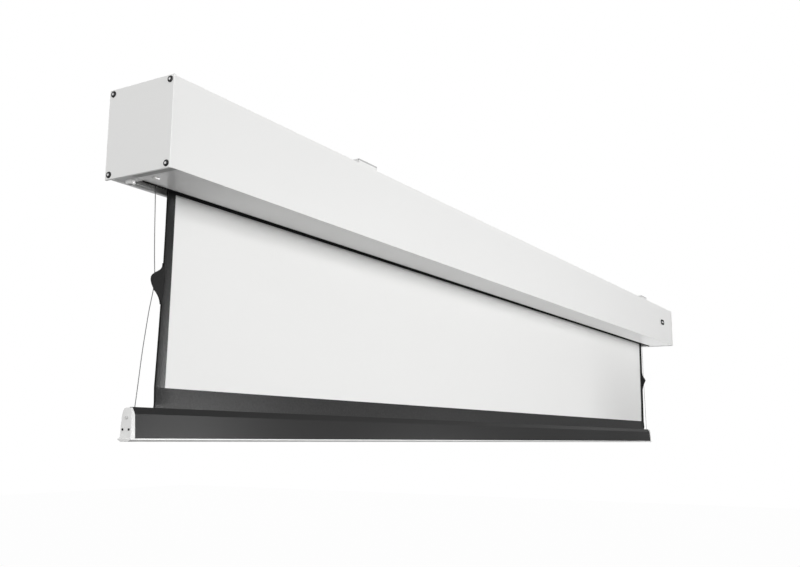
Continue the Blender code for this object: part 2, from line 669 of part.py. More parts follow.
def build_drive(case, roller, steel, plastic, zinc):
    """The tubular motor with its bracket, and what turns with the roller at that end."""
    bracket_start = BODY_START
    bracket_end = bracket_start + BRACKET_PLATE
    y, z = ROLLER_FROM_FRONT, ROLLER_ABOVE_BOTTOM
    peg_hole = MOTOR_PEG / 2 + SEAT
    hole = rectangle(y - peg_hole, y + peg_hole, z - peg_hole, z + peg_hole)
    extrude("motor_bracket", "X", [end_bracket_outline(), hole], bracket_start, bracket_end, zinc, case)

    head_start = bracket_end + SEAT
    head_end = head_start + MOTOR_HEAD_LENGTH
    head = [
        (head_start, 0),
        (head_start, MOTOR_HEAD_RADIUS - 0.001),
        (head_start + 0.001, MOTOR_HEAD_RADIUS),
        (head_end - 0.010, MOTOR_HEAD_RADIUS),
        (head_end - 0.007, MOTOR_RADIUS),
        (head_end, MOTOR_RADIUS),
        (head_end, 0),
    ]
    motor_head = turn("motor_head", "X", head, plastic, case, (y, z), sides=36)
    half_peg = MOTOR_PEG / 2
    peg = rectangle(y - half_peg, y + half_peg, z - half_peg, z + half_peg)
    unite(motor_head, extrude("motor_peg", "X", [peg], bracket_start + SEAT, head_start + WALL,
                              plastic, case))

    motor_start = head_end + SEAT
    motor_end = motor_start + MOTOR_LENGTH
    body = [
        (motor_start, 0),
        (motor_start, MOTOR_RADIUS),
        (motor_end - 0.004, MOTOR_RADIUS),
        (motor_end, MOTOR_RADIUS - 0.003),
        (motor_end, 0),
    ]
    turn("tubular_motor", "X", body, steel, case, (y, z), sides=36)

    shaft_start = motor_end + SEAT
    shaft = rod_profile(shaft_start, shaft_start + SHAFT_LENGTH, SHAFT_RADIUS)
    turn("motor_output_shaft", "X", shaft, steel, roller, sides=24)

    bore = TUBE_RADIUS - TUBE_WALL - SEAT
    key_half = KEY_HALF_WIDTH + TUBE_WALL + SEAT
    key_depth = KEY_DEPTH
    fit = keyed_outline(bore, key_half, key_depth)
    running = MOTOR_RADIUS + CROWN_RUNNING_GAP
    crown_start = TUBE_END_SETBACK + SEAT
    extrude("crown_ring", "X", [fit, circle((0, 0), running, 48)], crown_start,
            crown_start + CROWN_LENGTH, plastic, roller)
    wheel_start = shaft_start + SHAFT_LENGTH - WHEEL_LENGTH - 0.005
    windows = [circle((0.021 * math.cos(a), 0.021 * math.sin(a)), 0.0065, 14)
               for a in (math.radians(60 * k) for k in range(6))]
    extrude("drive_wheel", "X", [fit, circle((0, 0), SHAFT_RADIUS + SEAT, 24)] + windows,
            wheel_start, wheel_start + WHEEL_LENGTH, plastic, roller)


def build_idler(case, roller, steel, plastic, zinc):
    """The free end of the roller: plug, pin, bearing and the bracket with its hub."""
    y, z = ROLLER_FROM_FRONT, ROLLER_ABOVE_BOTTOM
    plate_end = CASE_LENGTH - BODY_START
    plate_start = plate_end - BRACKET_PLATE
    bore = circle((y, z), PIN_RADIUS + SEAT, 24)
    bracket = extrude("idler_bracket", "X", [end_bracket_outline(), bore], plate_start, plate_end,
                      zinc, case)
    hub_inner = BEARING_RADIUS + SEAT
    bearing_end = plate_start - SEAT
    bearing_start = bearing_end - BEARING_LENGTH
    hub = ring_profile(bearing_start, plate_start + WALL / 2, hub_inner, hub_inner + HUB_WALL)
    unite(bracket, turn("idler_hub", "X", hub, zinc, case, (y, z), sides=36, closed=True))
    bearing = ring_profile(bearing_start, bearing_end, PIN_RADIUS + SEAT, BEARING_RADIUS)
    turn("idler_bearing", "X", bearing, steel, case, (y, z), sides=36, closed=True)

    plug_end = CASE_LENGTH - TUBE_END_SETBACK - SEAT
    plug_start = plug_end - PLUG_LENGTH
    fit = keyed_outline(TUBE_RADIUS - TUBE_WALL - SEAT, KEY_HALF_WIDTH + TUBE_WALL + SEAT, KEY_DEPTH)
    extrude("idler_plug", "X", [fit, circle((0, 0), PIN_RADIUS + SEAT, 24)], plug_start, plug_end,
            plastic, roller)
    pin = [
        (plug_start, 0),
        (plug_start, PIN_RADIUS),
        (bearing_end - 0.001, PIN_RADIUS),
        (bearing_end, PIN_RADIUS - 0.001),
        (bearing_end, 0),
    ]
    turn("idler_pin", "X", pin, steel, roller, sides=24)


def build_roll(roller, aluminium, backing, cord_finish):
    """The keyed tube with the wound fabric and the wound ends of the tension cords."""
    outer = keyed_outline(TUBE_RADIUS, KEY_HALF_WIDTH, KEY_DEPTH)
    inner = keyed_outline(TUBE_RADIUS - TUBE_WALL, KEY_HALF_WIDTH + TUBE_WALL, KEY_DEPTH)
    extrude("roller_tube", "X", [outer, inner], TUBE_END_SETBACK, CASE_LENGTH - TUBE_END_SETBACK,
            aluminium, roller)
    wound = ring_profile(STRIP_OUTER_MARGIN, CASE_LENGTH - STRIP_OUTER_MARGIN, TUBE_RADIUS + SEAT,
                         WOUND_RADIUS)
    turn("wound_fabric", "X", wound, backing, roller, sides=64, closed=True)

    winding_outer = FABRIC_PLANE + CORD_BEHIND - CORD_RADIUS - SEAT - ROLLER_FROM_FRONT
    half = CORD_TURNS * CORD_RADIUS
    groove = winding_outer - CORD_RADIUS * 0.6
    for side, middle in (("left", CORD_TOP_MARGIN), ("right", CASE_LENGTH - CORD_TOP_MARGIN)):
        profile = [(middle + half, TUBE_RADIUS + SEAT), (middle - half, TUBE_RADIUS + SEAT)]
        for k in range(CORD_TURNS):
            start = middle - half + 2 * CORD_RADIUS * k
            profile += [(start, groove), (start + CORD_RADIUS, winding_outer)]
        profile.append((middle + half, groove))
        turn(f"{side}_cord_winding", "X", profile, cord_finish, roller, sides=36, closed=True)


def strip_edge(below):
    """How far in from the case's end the border's outer edge lies, at a depth below the case."""
    run = BAR_BELOW_CASE - BAR_HEIGHT - STRIP_FLARE_START
    share = min(1.0, max(0.0, (below - STRIP_FLARE_START) / run))
    edge = STRIP_OUTER_MARGIN - STRIP_FLARE * share ** 1.5
    away = abs(below - TAB_BELOW_CASE) / TAB_HALF_HEIGHT
    if away < 1:
        edge -= TAB_REACH * 0.5 * (1 + math.cos(math.pi * away))
    return edge


def build_screen(bar, white_fabric, black_fabric, cord_finish):
    """The hanging sheet, its side strips with tabs, the bands above and below, and both tension cords.

    They are drawn from the bar's foot, so a depth below the case is BAR_BELOW_CASE less a height.
    """
    top = BAR_BELOW_CASE + ROLLER_ABOVE_BOTTOM
    picture_foot = BAR_HEIGHT + LOWER_BAND_HEIGHT
    half = SHEET_THICKNESS / 2
    sheet_side = PICTURE_MARGIN - SHEET_UNDER_STRIP
    sheet_foot = picture_foot - SHEET_UNDER_STRIP
    extrude("projection_fabric", "X", [rectangle(-half, half, sheet_foot, top)], sheet_side,
            CASE_LENGTH - sheet_side, white_fabric, bar)

    steps = 40
    low, high = -ROLLER_ABOVE_BOTTOM, BAR_BELOW_CASE - picture_foot - SEAT
    plain = [low, 0.0, STRIP_FLARE_START, TAB_BELOW_CASE - TAB_HALF_HEIGHT]
    tab = [TAB_BELOW_CASE + TAB_HALF_HEIGHT * (2 * k / 18 - 1) for k in range(1, 18)]
    flare_start = TAB_BELOW_CASE + TAB_HALF_HEIGHT
    flare = [flare_start + (high - flare_start) * k / 8 for k in range(9)]
    depths = plain + tab + flare
    for side, edge_of in (("left", lambda m: m), ("right", lambda m: CASE_LENGTH - m)):
        outer = [(edge_of(strip_edge(d)), BAR_BELOW_CASE - d) for d in depths]
        inner = [(edge_of(PICTURE_MARGIN), BAR_BELOW_CASE - d) for d in (high, low)]
        extrude(f"{side}_tab_strip", "Y", [outer + inner], -STRIP_FRONT, -STRIP_FRONT + STRIP_THICKNESS,
                black_fabric, bar)
    upper = rectangle(-STRIP_FRONT, -STRIP_FRONT + STRIP_THICKNESS,
                      BAR_BELOW_CASE + UPPER_BAND_ABOVE_CASE_FOOT, top)
    upper_side = PICTURE_MARGIN + SEAT
    extrude("upper_band", "X", [upper], upper_side, CASE_LENGTH - upper_side, black_fabric, bar)

    pocket = HEM_ROD_RADIUS + SEAT
    wrap = pocket + HEM_FABRIC
    rod = (0.0, hem_rod_height())
    front_angle = 180 - math.degrees(math.acos(STRIP_FRONT / wrap))
    back = STRIP_FRONT - STRIP_THICKNESS
    back_angle = 180 - math.degrees(math.acos(back / wrap))
    loop = arc(rod, wrap, back_angle, front_angle - 360, 18)
    band = [(-STRIP_FRONT, picture_foot), (-back, picture_foot)] + loop
    band_side = strip_edge(BAR_BELOW_CASE - BAR_HEIGHT)
    extrude("lower_band", "X", [band, circle(rod, pocket, 16)], band_side, CASE_LENGTH - band_side,
            black_fabric, bar)

    anchor = TENSIONER_HEIGHT + TENSIONER_BARREL_RADIUS + SEAT
    tab_height = BAR_BELOW_CASE - TAB_BELOW_CASE
    upper_margin = (CORD_TOP_MARGIN * 2 + CORD_TAB_MARGIN) / 3
    lower_margin = (CORD_TAB_MARGIN + CORD_FOOT_MARGIN) / 2
    for side, edge_of in (("left", lambda m: m), ("right", lambda m: CASE_LENGTH - m)):
        route = [
            (edge_of(CORD_TOP_MARGIN), CORD_BEHIND, top),
            (edge_of(upper_margin), CORD_BEHIND, (top * 2 + tab_height) / 3),
            (edge_of(CORD_TAB_MARGIN - 0.001), CORD_BEHIND, tab_height + TAB_HALF_HEIGHT / 2),
            (edge_of(CORD_TAB_MARGIN), CORD_BEHIND, tab_height),
            (edge_of(CORD_TAB_MARGIN - 0.003), CORD_BEHIND, tab_height - TAB_HALF_HEIGHT / 2),
            (edge_of(lower_margin), CORD_BEHIND, (tab_height + BAR_HEIGHT) / 2),
            (edge_of(CORD_FOOT_MARGIN), CORD_BEHIND, BAR_HEIGHT + 2 * CORD_LAST_RUN),
            (edge_of(CORD_FOOT_MARGIN), CORD_BEHIND, BAR_HEIGHT + CORD_LAST_RUN),
            (edge_of(CORD_FOOT_MARGIN), CORD_BEHIND, anchor),
        ]
        tube(f"{side}_tension_cord", route, CORD_RADIUS, 5, cord_finish, bar)


def hem_rod_height():
    """The height at which the wrapped hem rod hangs the bar by the two sloped walls of its top."""
    run = BAR_SHOULDER_HALF - BAR_RIDGE_HALF
    rise = BAR_HEIGHT - BAR_SHOULDER_HEIGHT
    slope = math.hypot(run, rise)
    wrap = HEM_ROD_RADIUS + SEAT + HEM_FABRIC + SEAT
    # Distance from the middle plane to the sloped wall's inner face, set equal to the wrap.
    return BAR_HEIGHT + (BAR_RIDGE_HALF * rise - (wrap + BAR_WALL) * slope) / run


def bar_shell_outline():
    """The shell's section: a slot at the ridge, a cross web low down and a screw port in each wall."""
    run = BAR_SHOULDER_HALF - BAR_RIDGE_HALF
    rise = BAR_HEIGHT - BAR_SHOULDER_HEIGHT
    drop = BAR_WALL * math.hypot(run, rise) / run
    foot = RAIL_HEIGHT + SEAT
    inner_top = BAR_HEIGHT - drop + (BAR_RIDGE_HALF - BAR_SLOT_HALF) * rise / run
    inner_shoulder = BAR_SHOULDER_HEIGHT - drop + BAR_WALL * rise / run
    web_foot = RAIL_HEIGHT + RAIL_WEB_HEIGHT + SEAT
    web_top = web_foot + BAR_WEB
    port = (CAP_SCREW_OFFSET, CAP_SCREW_HEIGHT)
    reach = math.degrees(math.acos((bar_inside(CAP_SCREW_HEIGHT) - CAP_SCREW_OFFSET) / BAR_PORT_RADIUS))
    bore = CAP_SCREW_SHANK + SEAT
    slit = 12
    bore_slit = math.degrees(math.asin(BAR_PORT_RADIUS * math.sin(math.radians(slit)) / bore))
    right = [
        (bar_inside(web_foot), web_foot),
        (bar_inside(foot), foot),
        (BAR_FOOT_HALF, foot),
        (BAR_SHOULDER_HALF, BAR_SHOULDER_HEIGHT),
        (BAR_RIDGE_HALF, BAR_HEIGHT),
        (BAR_SLOT_HALF, BAR_HEIGHT),
        (BAR_SLOT_HALF, inner_top),
        (BAR_SHOULDER_HALF - BAR_WALL, inner_shoulder),
    ]
    right += arc(port, BAR_PORT_RADIUS, reach, 180 - slit, 4)
    right += arc(port, bore, 180 - bore_slit, bore_slit - 180, 8)
    right += arc(port, BAR_PORT_RADIUS, 180 + slit, 360 - reach, 4)
    right.append((bar_inside(web_top), web_top))
    return right + [(-y, z) for y, z in reversed(right)]


def bar_inside(height):
    """How far the shell's inner face is from the middle plane, at a height above the bar's foot."""
    return BAR_FOOT_HALF - BAR_WALL - FACE_SLOPE * (height - RAIL_HEIGHT - SEAT)


def base_rail_outline():
    web_top = RAIL_HEIGHT + RAIL_WEB_HEIGHT
    web_foot = bar_inside(RAIL_HEIGHT) - SEAT
    web_lean = bar_inside(web_top) - SEAT
    right = [
        (RAIL_HALF - RAIL_CHAMFER_WIDTH, 0.0),
        (RAIL_HALF, RAIL_CHAMFER),
        (RAIL_HALF, RAIL_HEIGHT),
        (web_foot, RAIL_HEIGHT),
        (web_lean, web_top),
        (web_lean - RAIL_WEB_THICKNESS, web_top),
        (web_foot - RAIL_WEB_THICKNESS, RAIL_HEIGHT - RAIL_WEB_THICKNESS),
    ]
    return right + [(-y, z) for y, z in reversed(right)]


def cap_outline():
    """The bullet shape of an end cap, with a flared foot."""
    right = [(CAP_FOOT_HALF - RAIL_CHAMFER_WIDTH, 0.0), (CAP_FOOT_HALF, RAIL_CHAMFER)]
    right += [(CAP_FOOT_HALF - (CAP_FOOT_HALF - CAP_HALF) * math.sin(a),
               RAIL_CHAMFER + CAP_FOOT_HEIGHT * (1 - math.cos(a)))
              for a in (math.pi / 2 * k / 4 for k in range(1, 5))]
    top = BAR_HEIGHT - 0.001
    rise = top - CAP_SHOULDER_HEIGHT
    right += [(CAP_TOP_HALF + (CAP_HALF - CAP_TOP_HALF) * math.cos(a),
               CAP_SHOULDER_HEIGHT + rise * math.sin(a))
              for a in (math.pi / 2 * k / 8 for k in range(9))]
    return right + [(-y, z) for y, z in reversed(right)]


def build_bar(bar, shell_paint, white, steel, dark):
    start, end = BAR_START + SEAT, CASE_LENGTH - BAR_START - SEAT
    extrude("bar_shell", "X", [bar_shell_outline()], start, end, shell_paint, bar)
    extrude("bar_base_rail", "X", [base_rail_outline()], start, end, white, bar)

    rod_start = strip_edge(BAR_BELOW_CASE - BAR_HEIGHT)
    rod_centre = (0.0, hem_rod_height())
    hem_rod = rod_profile(rod_start, CASE_LENGTH - rod_start, HEM_ROD_RADIUS)
    turn("hem_rod", "X", hem_rod, steel, bar, rod_centre, sides=16)
    apart = BALLAST_RADIUS + BAR_PORT_RADIUS + SEAT
    ballast_height = CAP_SCREW_HEIGHT + math.sqrt(apart ** 2 - CAP_SCREW_OFFSET ** 2)
    ballast_start = BAR_START + BALLAST_SETBACK
    ballast = rod_profile(ballast_start, CASE_LENGTH - ballast_start, BALLAST_RADIUS)
    turn("ballast_rod", "X", ballast, steel, bar, (0.0, ballast_height), sides=24)

    screws = (("front", -CAP_SCREW_OFFSET), ("rear", CAP_SCREW_OFFSET))
    tensioner_hole = circle((0.0, TENSIONER_HEIGHT), TENSIONER_SHANK_RADIUS + SEAT, 16)
    loops = [cap_outline()]
    loops += [circle((y, CAP_SCREW_HEIGHT), CAP_SCREW_SHANK + SEAT, 12) for _, y in screws]
    for side, outer, inward in (("left", BAR_END_MARGIN, 1), ("right", CASE_LENGTH - BAR_END_MARGIN, -1)):
        inner = outer + inward * CAP_THICKNESS
        cap = extrude(f"{side}_bar_cap", "X", loops, outer, inner, white, bar, bevel_end="start")
        flange = [
            (RAIL_CHAMFER_WIDTH - CAP_FOOT_HALF, 0.0),
            (CAP_FOOT_HALF - RAIL_CHAMFER_WIDTH, 0.0),
            (CAP_FOOT_HALF, RAIL_CHAMFER),
            (CAP_FOOT_HALF, RAIL_HEIGHT),
            (-CAP_FOOT_HALF, RAIL_HEIGHT),
            (-CAP_FOOT_HALF, RAIL_CHAMFER),
        ]
        unite(cap, extrude(f"{side}_cap_flange", "X", [flange], outer - inward * CAP_FLANGE_REACH,
                           (outer + inner) / 2, white, bar))
        cut(cap, extrude(f"{side}_tensioner_hole", "X", [tensioner_hole], outer - inward * WALL,
                         inner + inward * WALL, white, bar))
        for name, y in screws:
            seat = outer - inward * SEAT
            crown = seat - inward * CAP_SCREW_RADIUS * 0.6
            profile = [
                (seat + inward * CAP_SCREW_LENGTH, 0),
                (seat + inward * CAP_SCREW_LENGTH, CAP_SCREW_SHANK),
                (seat, CAP_SCREW_SHANK),
                (seat, CAP_SCREW_RADIUS),
                (crown, CAP_SCREW_RADIUS * 0.7),
                (crown, 0),
            ]
            turn(f"{side}_cap_screw_{name}", "X", profile, dark, bar, (y, CAP_SCREW_HEIGHT), sides=12)
        seat = outer - inward * SEAT
        anchor = edge_distance(outer, inward)
        profile = [
            (seat - inward * TENSIONER_HEAD_RADIUS * 0.3, 0),
            (seat - inward * TENSIONER_HEAD_RADIUS * 0.3, TENSIONER_HEAD_RADIUS * 0.85),
            (seat, TENSIONER_HEAD_RADIUS),
            (seat, TENSIONER_SHANK_RADIUS),
            (anchor - inward * TENSIONER_BARREL_LENGTH / 2, TENSIONER_SHANK_RADIUS),
            (anchor - inward * TENSIONER_BARREL_LENGTH / 2, TENSIONER_BARREL_RADIUS),
            (anchor + inward * TENSIONER_BARREL_LENGTH / 2, TENSIONER_BARREL_RADIUS),
            (anchor + inward * TENSIONER_BARREL_LENGTH / 2, 0),
        ]
        turn(f"{side}_cord_tensioner", "X", profile, white, bar, (0.0, TENSIONER_HEIGHT), sides=16)


def edge_distance(outer, inward):
    """Where the tension cord's foot lies along X, seen from the cap's outer face."""
    return outer + inward * (CORD_FOOT_MARGIN - BAR_END_MARGIN)


def build_clamp(side, clamp, zinc):
    """A boxed clamp bracket hooked into the front groove, with a jaw that a screw draws to the rear."""
    half = CLAMP_WIDTH / 2
    front = CLAMP_FRONT_SETBACK
    back = CASE_DEPTH - CLAMP_REAR_SETBACK
    groove = SKIN_FRONT + GROOVE_INSET + GROOVE_OPENING - SEAT
    toe_top = SKIN_TOP - GROOVE_LIP - SEAT
    toe_floor = SKIN_TOP - GROOVE_LIP - GROOVE_CAVITY + SEAT
    toe_front = SKIN_FRONT + GROOVE_INSET - GROOVE_UNDERCUT + SEAT
    outline = [
        (front, CLAMP_BASE),
        (front, CLAMP_TOP),
        (back, CLAMP_TOP),
        (back, CLAMP_BASE),
        (back - CLAMP_SHEET, CLAMP_BASE),
        (back - CLAMP_SHEET, CLAMP_TOP - CLAMP_SHEET),
        (front + CLAMP_SHEET, CLAMP_TOP - CLAMP_SHEET),
        (front + CLAMP_SHEET, CLAMP_BASE + CLAMP_SHEET),
        (groove, CLAMP_BASE + CLAMP_SHEET),
        (groove, toe_floor),
        (toe_front, toe_floor),
        (toe_front, toe_top),
        (groove - CLAMP_HOOK, toe_top),
        (groove - CLAMP_HOOK, CLAMP_BASE),
    ]
    bracket = extrude(f"{side}_clamp_bracket", "X", [outline], -half, half, zinc, clamp)
    skirt = rectangle(front, back, CLAMP_BASE, CLAMP_TOP)
    for sign in (-1, 1):
        unite(bracket, extrude(f"{side}_skirt", "X", [skirt], sign * (half - CLAMP_SHEET), sign * half,
                               zinc, clamp))
    middle = (front + back) / 2
    for k, y in enumerate((middle - CLAMP_SLOT_FROM_MIDDLE, middle + CLAMP_SLOT_FROM_MIDDLE)):
        slot = stadium((0.0, y), CLAMP_SLOT[1], CLAMP_SLOT[0])
        cut(bracket, extrude(f"{side}_hanging_slot_{k}", "Z", [slot], CLAMP_TOP - 2 * CLAMP_SHEET,
                             CLAMP_TOP + CLAMP_SHEET, zinc, clamp))
    screw_hole = circle((0.0, CLAMP_SCREW_HEIGHT), CLAMP_SCREW_RADIUS + SEAT, 16)
    cut(bracket, extrude(f"{side}_bracket_screw_hole", "Y", [screw_hole], back - 2 * CLAMP_SHEET,
                         back + CLAMP_SHEET, zinc, clamp))

    hook_back = SKIN_BACK - GROOVE_INSET - SEAT
    hook_front = hook_back - CLAMP_HOOK
    toe_back = SKIN_BACK - GROOVE_INSET + GROOVE_UNDERCUT - SEAT
    jaw_front = hook_back - JAW_LENGTH
    jaw_top = CLAMP_TOP - CLAMP_SHEET - SEAT
    jaw = [
        (jaw_front, CLAMP_BASE),
        (hook_front, CLAMP_BASE),
        (hook_front, toe_floor),
        (toe_back, toe_floor),
        (toe_back, toe_top),
        (hook_back, toe_top),
        (hook_back, CLAMP_BASE + CLAMP_SHEET),
        (jaw_front + JAW_UPSTAND, CLAMP_BASE + CLAMP_SHEET),
        (jaw_front + JAW_UPSTAND, jaw_top),
        (jaw_front, jaw_top),
    ]
    jaw_piece = extrude(f"{side}_clamp_jaw", "X", [jaw], -JAW_WIDTH / 2, JAW_WIDTH / 2, zinc, clamp)
    cut(jaw_piece, extrude(f"{side}_jaw_screw_hole", "Y", [screw_hole], jaw_front - WALL,
                           jaw_front + JAW_UPSTAND + WALL, zinc, clamp))
    seat = back + SEAT
    screw = [
        (jaw_front - WALL, 0),
        (jaw_front - WALL, CLAMP_SCREW_RADIUS),
        (seat, CLAMP_SCREW_RADIUS),
        (seat, CLAMP_SCREW_HEAD_RADIUS),
        (seat + CLAMP_SCREW_HEAD_HEIGHT * 0.7, CLAMP_SCREW_HEAD_RADIUS),
        (seat + CLAMP_SCREW_HEAD_HEIGHT, CLAMP_SCREW_HEAD_RADIUS * 0.7),
        (seat + CLAMP_SCREW_HEAD_HEIGHT, 0),
    ]
    turn(f"{side}_clamp_screw", "Y", screw, zinc, clamp, (0.0, CLAMP_SCREW_HEIGHT), sides=16)


def main():
    clear_scene()
    paint = material("case_paint", (0.84, 0.84, 0.84), 0.45)
    dark = material("dark_screw", (0.03, 0.03, 0.03), 0.4, 0.6)
    plastic = material("grey_plastic", (0.55, 0.55, 0.55), 0.5)
    white = material("white_plastic", (0.88, 0.88, 0.87), 0.4)
    rubber = material("black_rubber", (0.02, 0.02, 0.02), 0.8)
    steel = material("steel", (0.55, 0.55, 0.56), 0.35, 1.0)
    zinc = material("zinc_plate", (0.62, 0.62, 0.62), 0.45, 0.8)
    aluminium = material("aluminium", (0.75, 0.75, 0.76), 0.4, 1.0)
    black_fabric = material("black_fabric", (0.03, 0.03, 0.03), 0.85)
    white_fabric = material("white_fabric", (0.86, 0.86, 0.86), 0.9)
    cord_finish = material("cord", (0.25, 0.25, 0.25), 0.6)
    bar_paint = material("bar_paint", (0.10, 0.10, 0.10), 0.5)
    lens = material("infrared_lens", (0.02, 0.01, 0.01), 0.1)

    left, front, bottom = -CASE_LENGTH / 2, -CASE_DEPTH / 2, -CLAMP_TOP
    case = group("case", (left, front, bottom))
    roller = group("roller_axis", (left, front + ROLLER_FROM_FRONT, bottom + ROLLER_ABOVE_BOTTOM))
    bar = group("bar_foot", (left, front + FABRIC_PLANE, bottom - BAR_BELOW_CASE))
    left_clamp = group("left_clamp", (left + CLAMP_FROM_LEFT, front, bottom))
    right_clamp = group("right_clamp", (-left - CLAMP_FROM_RIGHT, front, bottom))

    _, cover = build_case_shells(case, paint)
    build_end_plates(case, paint, dark)
    build_slot_pieces(case, cover, plastic, white, rubber)
    build_receiver(case, cover, lens, plastic)
    build_drive(case, roller, steel, plastic, zinc)
    build_idler(case, roller, steel, plastic, zinc)
    build_roll(roller, aluminium, black_fabric, cord_finish)
    build_screen(bar, white_fabric, black_fabric, cord_finish)
    build_bar(bar, bar_paint, white, steel, dark)
    build_clamp("left", left_clamp, zinc)
    build_clamp("right", right_clamp, zinc)


main()
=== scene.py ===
"""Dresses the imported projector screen: finishes, hardware, fabric, cords, camera and studio.

It is laid out as an add-on. Each operator makes one piece or one group of like pieces, and the
panel in the sidebar lists them in the order in which they are made.
"""
import math
import random

import bmesh
import bpy
from mathutils import Euler, Matrix, Vector


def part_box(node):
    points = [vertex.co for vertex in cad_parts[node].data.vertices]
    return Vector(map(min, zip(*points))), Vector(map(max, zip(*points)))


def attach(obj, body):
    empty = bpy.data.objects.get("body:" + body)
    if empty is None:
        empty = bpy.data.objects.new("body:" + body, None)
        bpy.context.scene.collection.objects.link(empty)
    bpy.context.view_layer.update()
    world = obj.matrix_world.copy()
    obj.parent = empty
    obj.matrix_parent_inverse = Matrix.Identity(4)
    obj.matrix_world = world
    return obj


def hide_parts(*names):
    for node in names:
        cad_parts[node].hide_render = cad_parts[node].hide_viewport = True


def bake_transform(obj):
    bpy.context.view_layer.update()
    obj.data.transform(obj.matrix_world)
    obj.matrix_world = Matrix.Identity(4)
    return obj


bl_info = {
    "name": "Projector Screen Dressing",
    "version": (1, 0, 0),
    "blender": (4, 5, 0),
    "location": "3D View > Sidebar > Screen",
    "description": "Finishes, fabric, cords and small hardware for a motorized projector screen",
    "category": "Object",
}

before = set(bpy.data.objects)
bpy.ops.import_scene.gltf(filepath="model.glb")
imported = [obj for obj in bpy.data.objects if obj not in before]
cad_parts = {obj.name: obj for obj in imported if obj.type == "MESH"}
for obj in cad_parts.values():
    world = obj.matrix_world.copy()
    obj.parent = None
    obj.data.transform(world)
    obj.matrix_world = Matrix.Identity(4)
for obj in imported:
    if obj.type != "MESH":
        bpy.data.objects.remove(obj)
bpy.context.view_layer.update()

# Places read from the frame
CASE_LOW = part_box("left_end_plate")[0]
CASE_LEFT = CASE_LOW.x
CASE_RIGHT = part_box("right_end_plate")[1].x
CASE_FLOOR = CASE_LOW.z
SKIN_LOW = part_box("front_cover")[0]
SHEET_LOW, SHEET_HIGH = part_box("projection_fabric")
FABRIC_Y = (SHEET_LOW.y + SHEET_HIGH.y) / 2
TANGENT_Z = SHEET_HIGH.z
STRIP_LOW, STRIP_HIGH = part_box("left_tab_strip")
BORDER_PLY = STRIP_HIGH.y - STRIP_LOW.y
BAND_LOW, BAND_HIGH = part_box("lower_band")
PICTURE_FOOT = BAND_HIGH.z
BAR_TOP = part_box("bar_shell")[1].z
SIDES = (("left", 1), ("right", -1))

# The gap that the CAD leaves under a seated piece, and the height where a head meets the skin from below
SEAT_GAP = 0.0003
SKIN_FOOT = SKIN_LOW.z - SEAT_GAP
# Distances from the case's end to the picture and to the cord inside a tab, and a tab's depth
PICTURE_MARGIN = 0.1217
CORD_AT_TAB = 0.0835
TAB_FALL = 0.1500
# The border's outer edge: its distance from the case's end at the top, and how it flares out below
EDGE_MARGIN = 0.1014
EDGE_FLARE = 0.0047
EDGE_FLARE_START = 0.060
EDGE_FLARE_POWER = 1.65
# How far the cloth hangs back at the picture's foot, and where that starts and ends
LEAN = 0.0032
LEAN_START = 0.050
LEAN_END = 0.010
# The weight bar's section as the CAD has it: half-widths, and heights over its foot
BAR_FOOT_HALF = 0.0119
BAR_SHOULDER_HALF = 0.0091
BAR_SHOULDER_HEIGHT = 0.0415
BAR_RIDGE_HALF = 0.0028
BAR_HEIGHT = 0.0521
RAIL_HEIGHT = 0.0047
RAIL_CHAMFER = 0.0029
RAIL_CHAMFER_WIDTH = 0.0060


# Sizes and colours


class ScreenHardwareSizes(bpy.types.PropertyGroup):
    socket_width: bpy.props.FloatProperty(
        name="Socket Width", description="Across the flats of the plate screws' hexagon socket",
        default=0.004, min=0.002, max=0.006, subtype="DISTANCE", unit="LENGTH")
    tuft_pitch: bpy.props.FloatProperty(
        name="Tuft Pitch", description="Spacing of the slot brush's tufts",
        default=0.0016, min=0.0005, max=0.01, subtype="DISTANCE", unit="LENGTH")
    cap_edge: bpy.props.FloatProperty(
        name="Cap Edge", description="Radius moulded on the weight bar caps' edges",
        default=0.0011, min=0.0002, max=0.003, subtype="DISTANCE", unit="LENGTH")
    cord_pitch: bpy.props.FloatProperty(
        name="Cord Pitch", description="Length of one turn of the tension cord's braid",
        default=0.006, min=0.001, max=0.05, subtype="DISTANCE", unit="LENGTH")


class ScreenFabricSizes(bpy.types.PropertyGroup):
    bead: bpy.props.FloatProperty(
        name="Hem Bead", description="Thickness of the rolled hem down the border's outer edges",
        default=0.003, min=0.001, max=0.006, subtype="DISTANCE", unit="LENGTH")
    tab_height: bpy.props.FloatProperty(
        name="Tab Height", description="Height of a tab along the border's edge",
        default=0.067, min=0.03, max=0.15, subtype="DISTANCE", unit="LENGTH")
    tab_reach: bpy.props.FloatProperty(
        name="Tab Reach", description="How far a tab stands out from the border's edge",
        default=0.0297, min=0.005, max=0.06, subtype="DISTANCE", unit="LENGTH")
    tab_curl: bpy.props.FloatProperty(
        name="Tab Curl", description="How far a tab's tip stands forward of the border",
        default=0.0069, min=0.0, max=0.02, subtype="DISTANCE", unit="LENGTH")
    grain: bpy.props.FloatProperty(
        name="Border Grain", description="Size of the black border's embossed grain",
        default=0.0022, min=0.0002, max=0.01, subtype="DISTANCE", unit="LENGTH")


class ScreenColours(bpy.types.PropertyGroup):
    coat: bpy.props.StringProperty(
        name="Case Coat", description="sRGB colour of the white powder coat", default="#E9E9E8")
    bar_coat: bpy.props.StringProperty(
        name="Bar Coat", description="sRGB colour of the weight bar's dark coat", default="#2E2E2E")
    border: bpy.props.StringProperty(
        name="Border", description="sRGB colour of the black border", default="#262626")
    surface: bpy.props.StringProperty(
        name="Picture", description="sRGB colour of the projection surface", default="#F2F2F1")


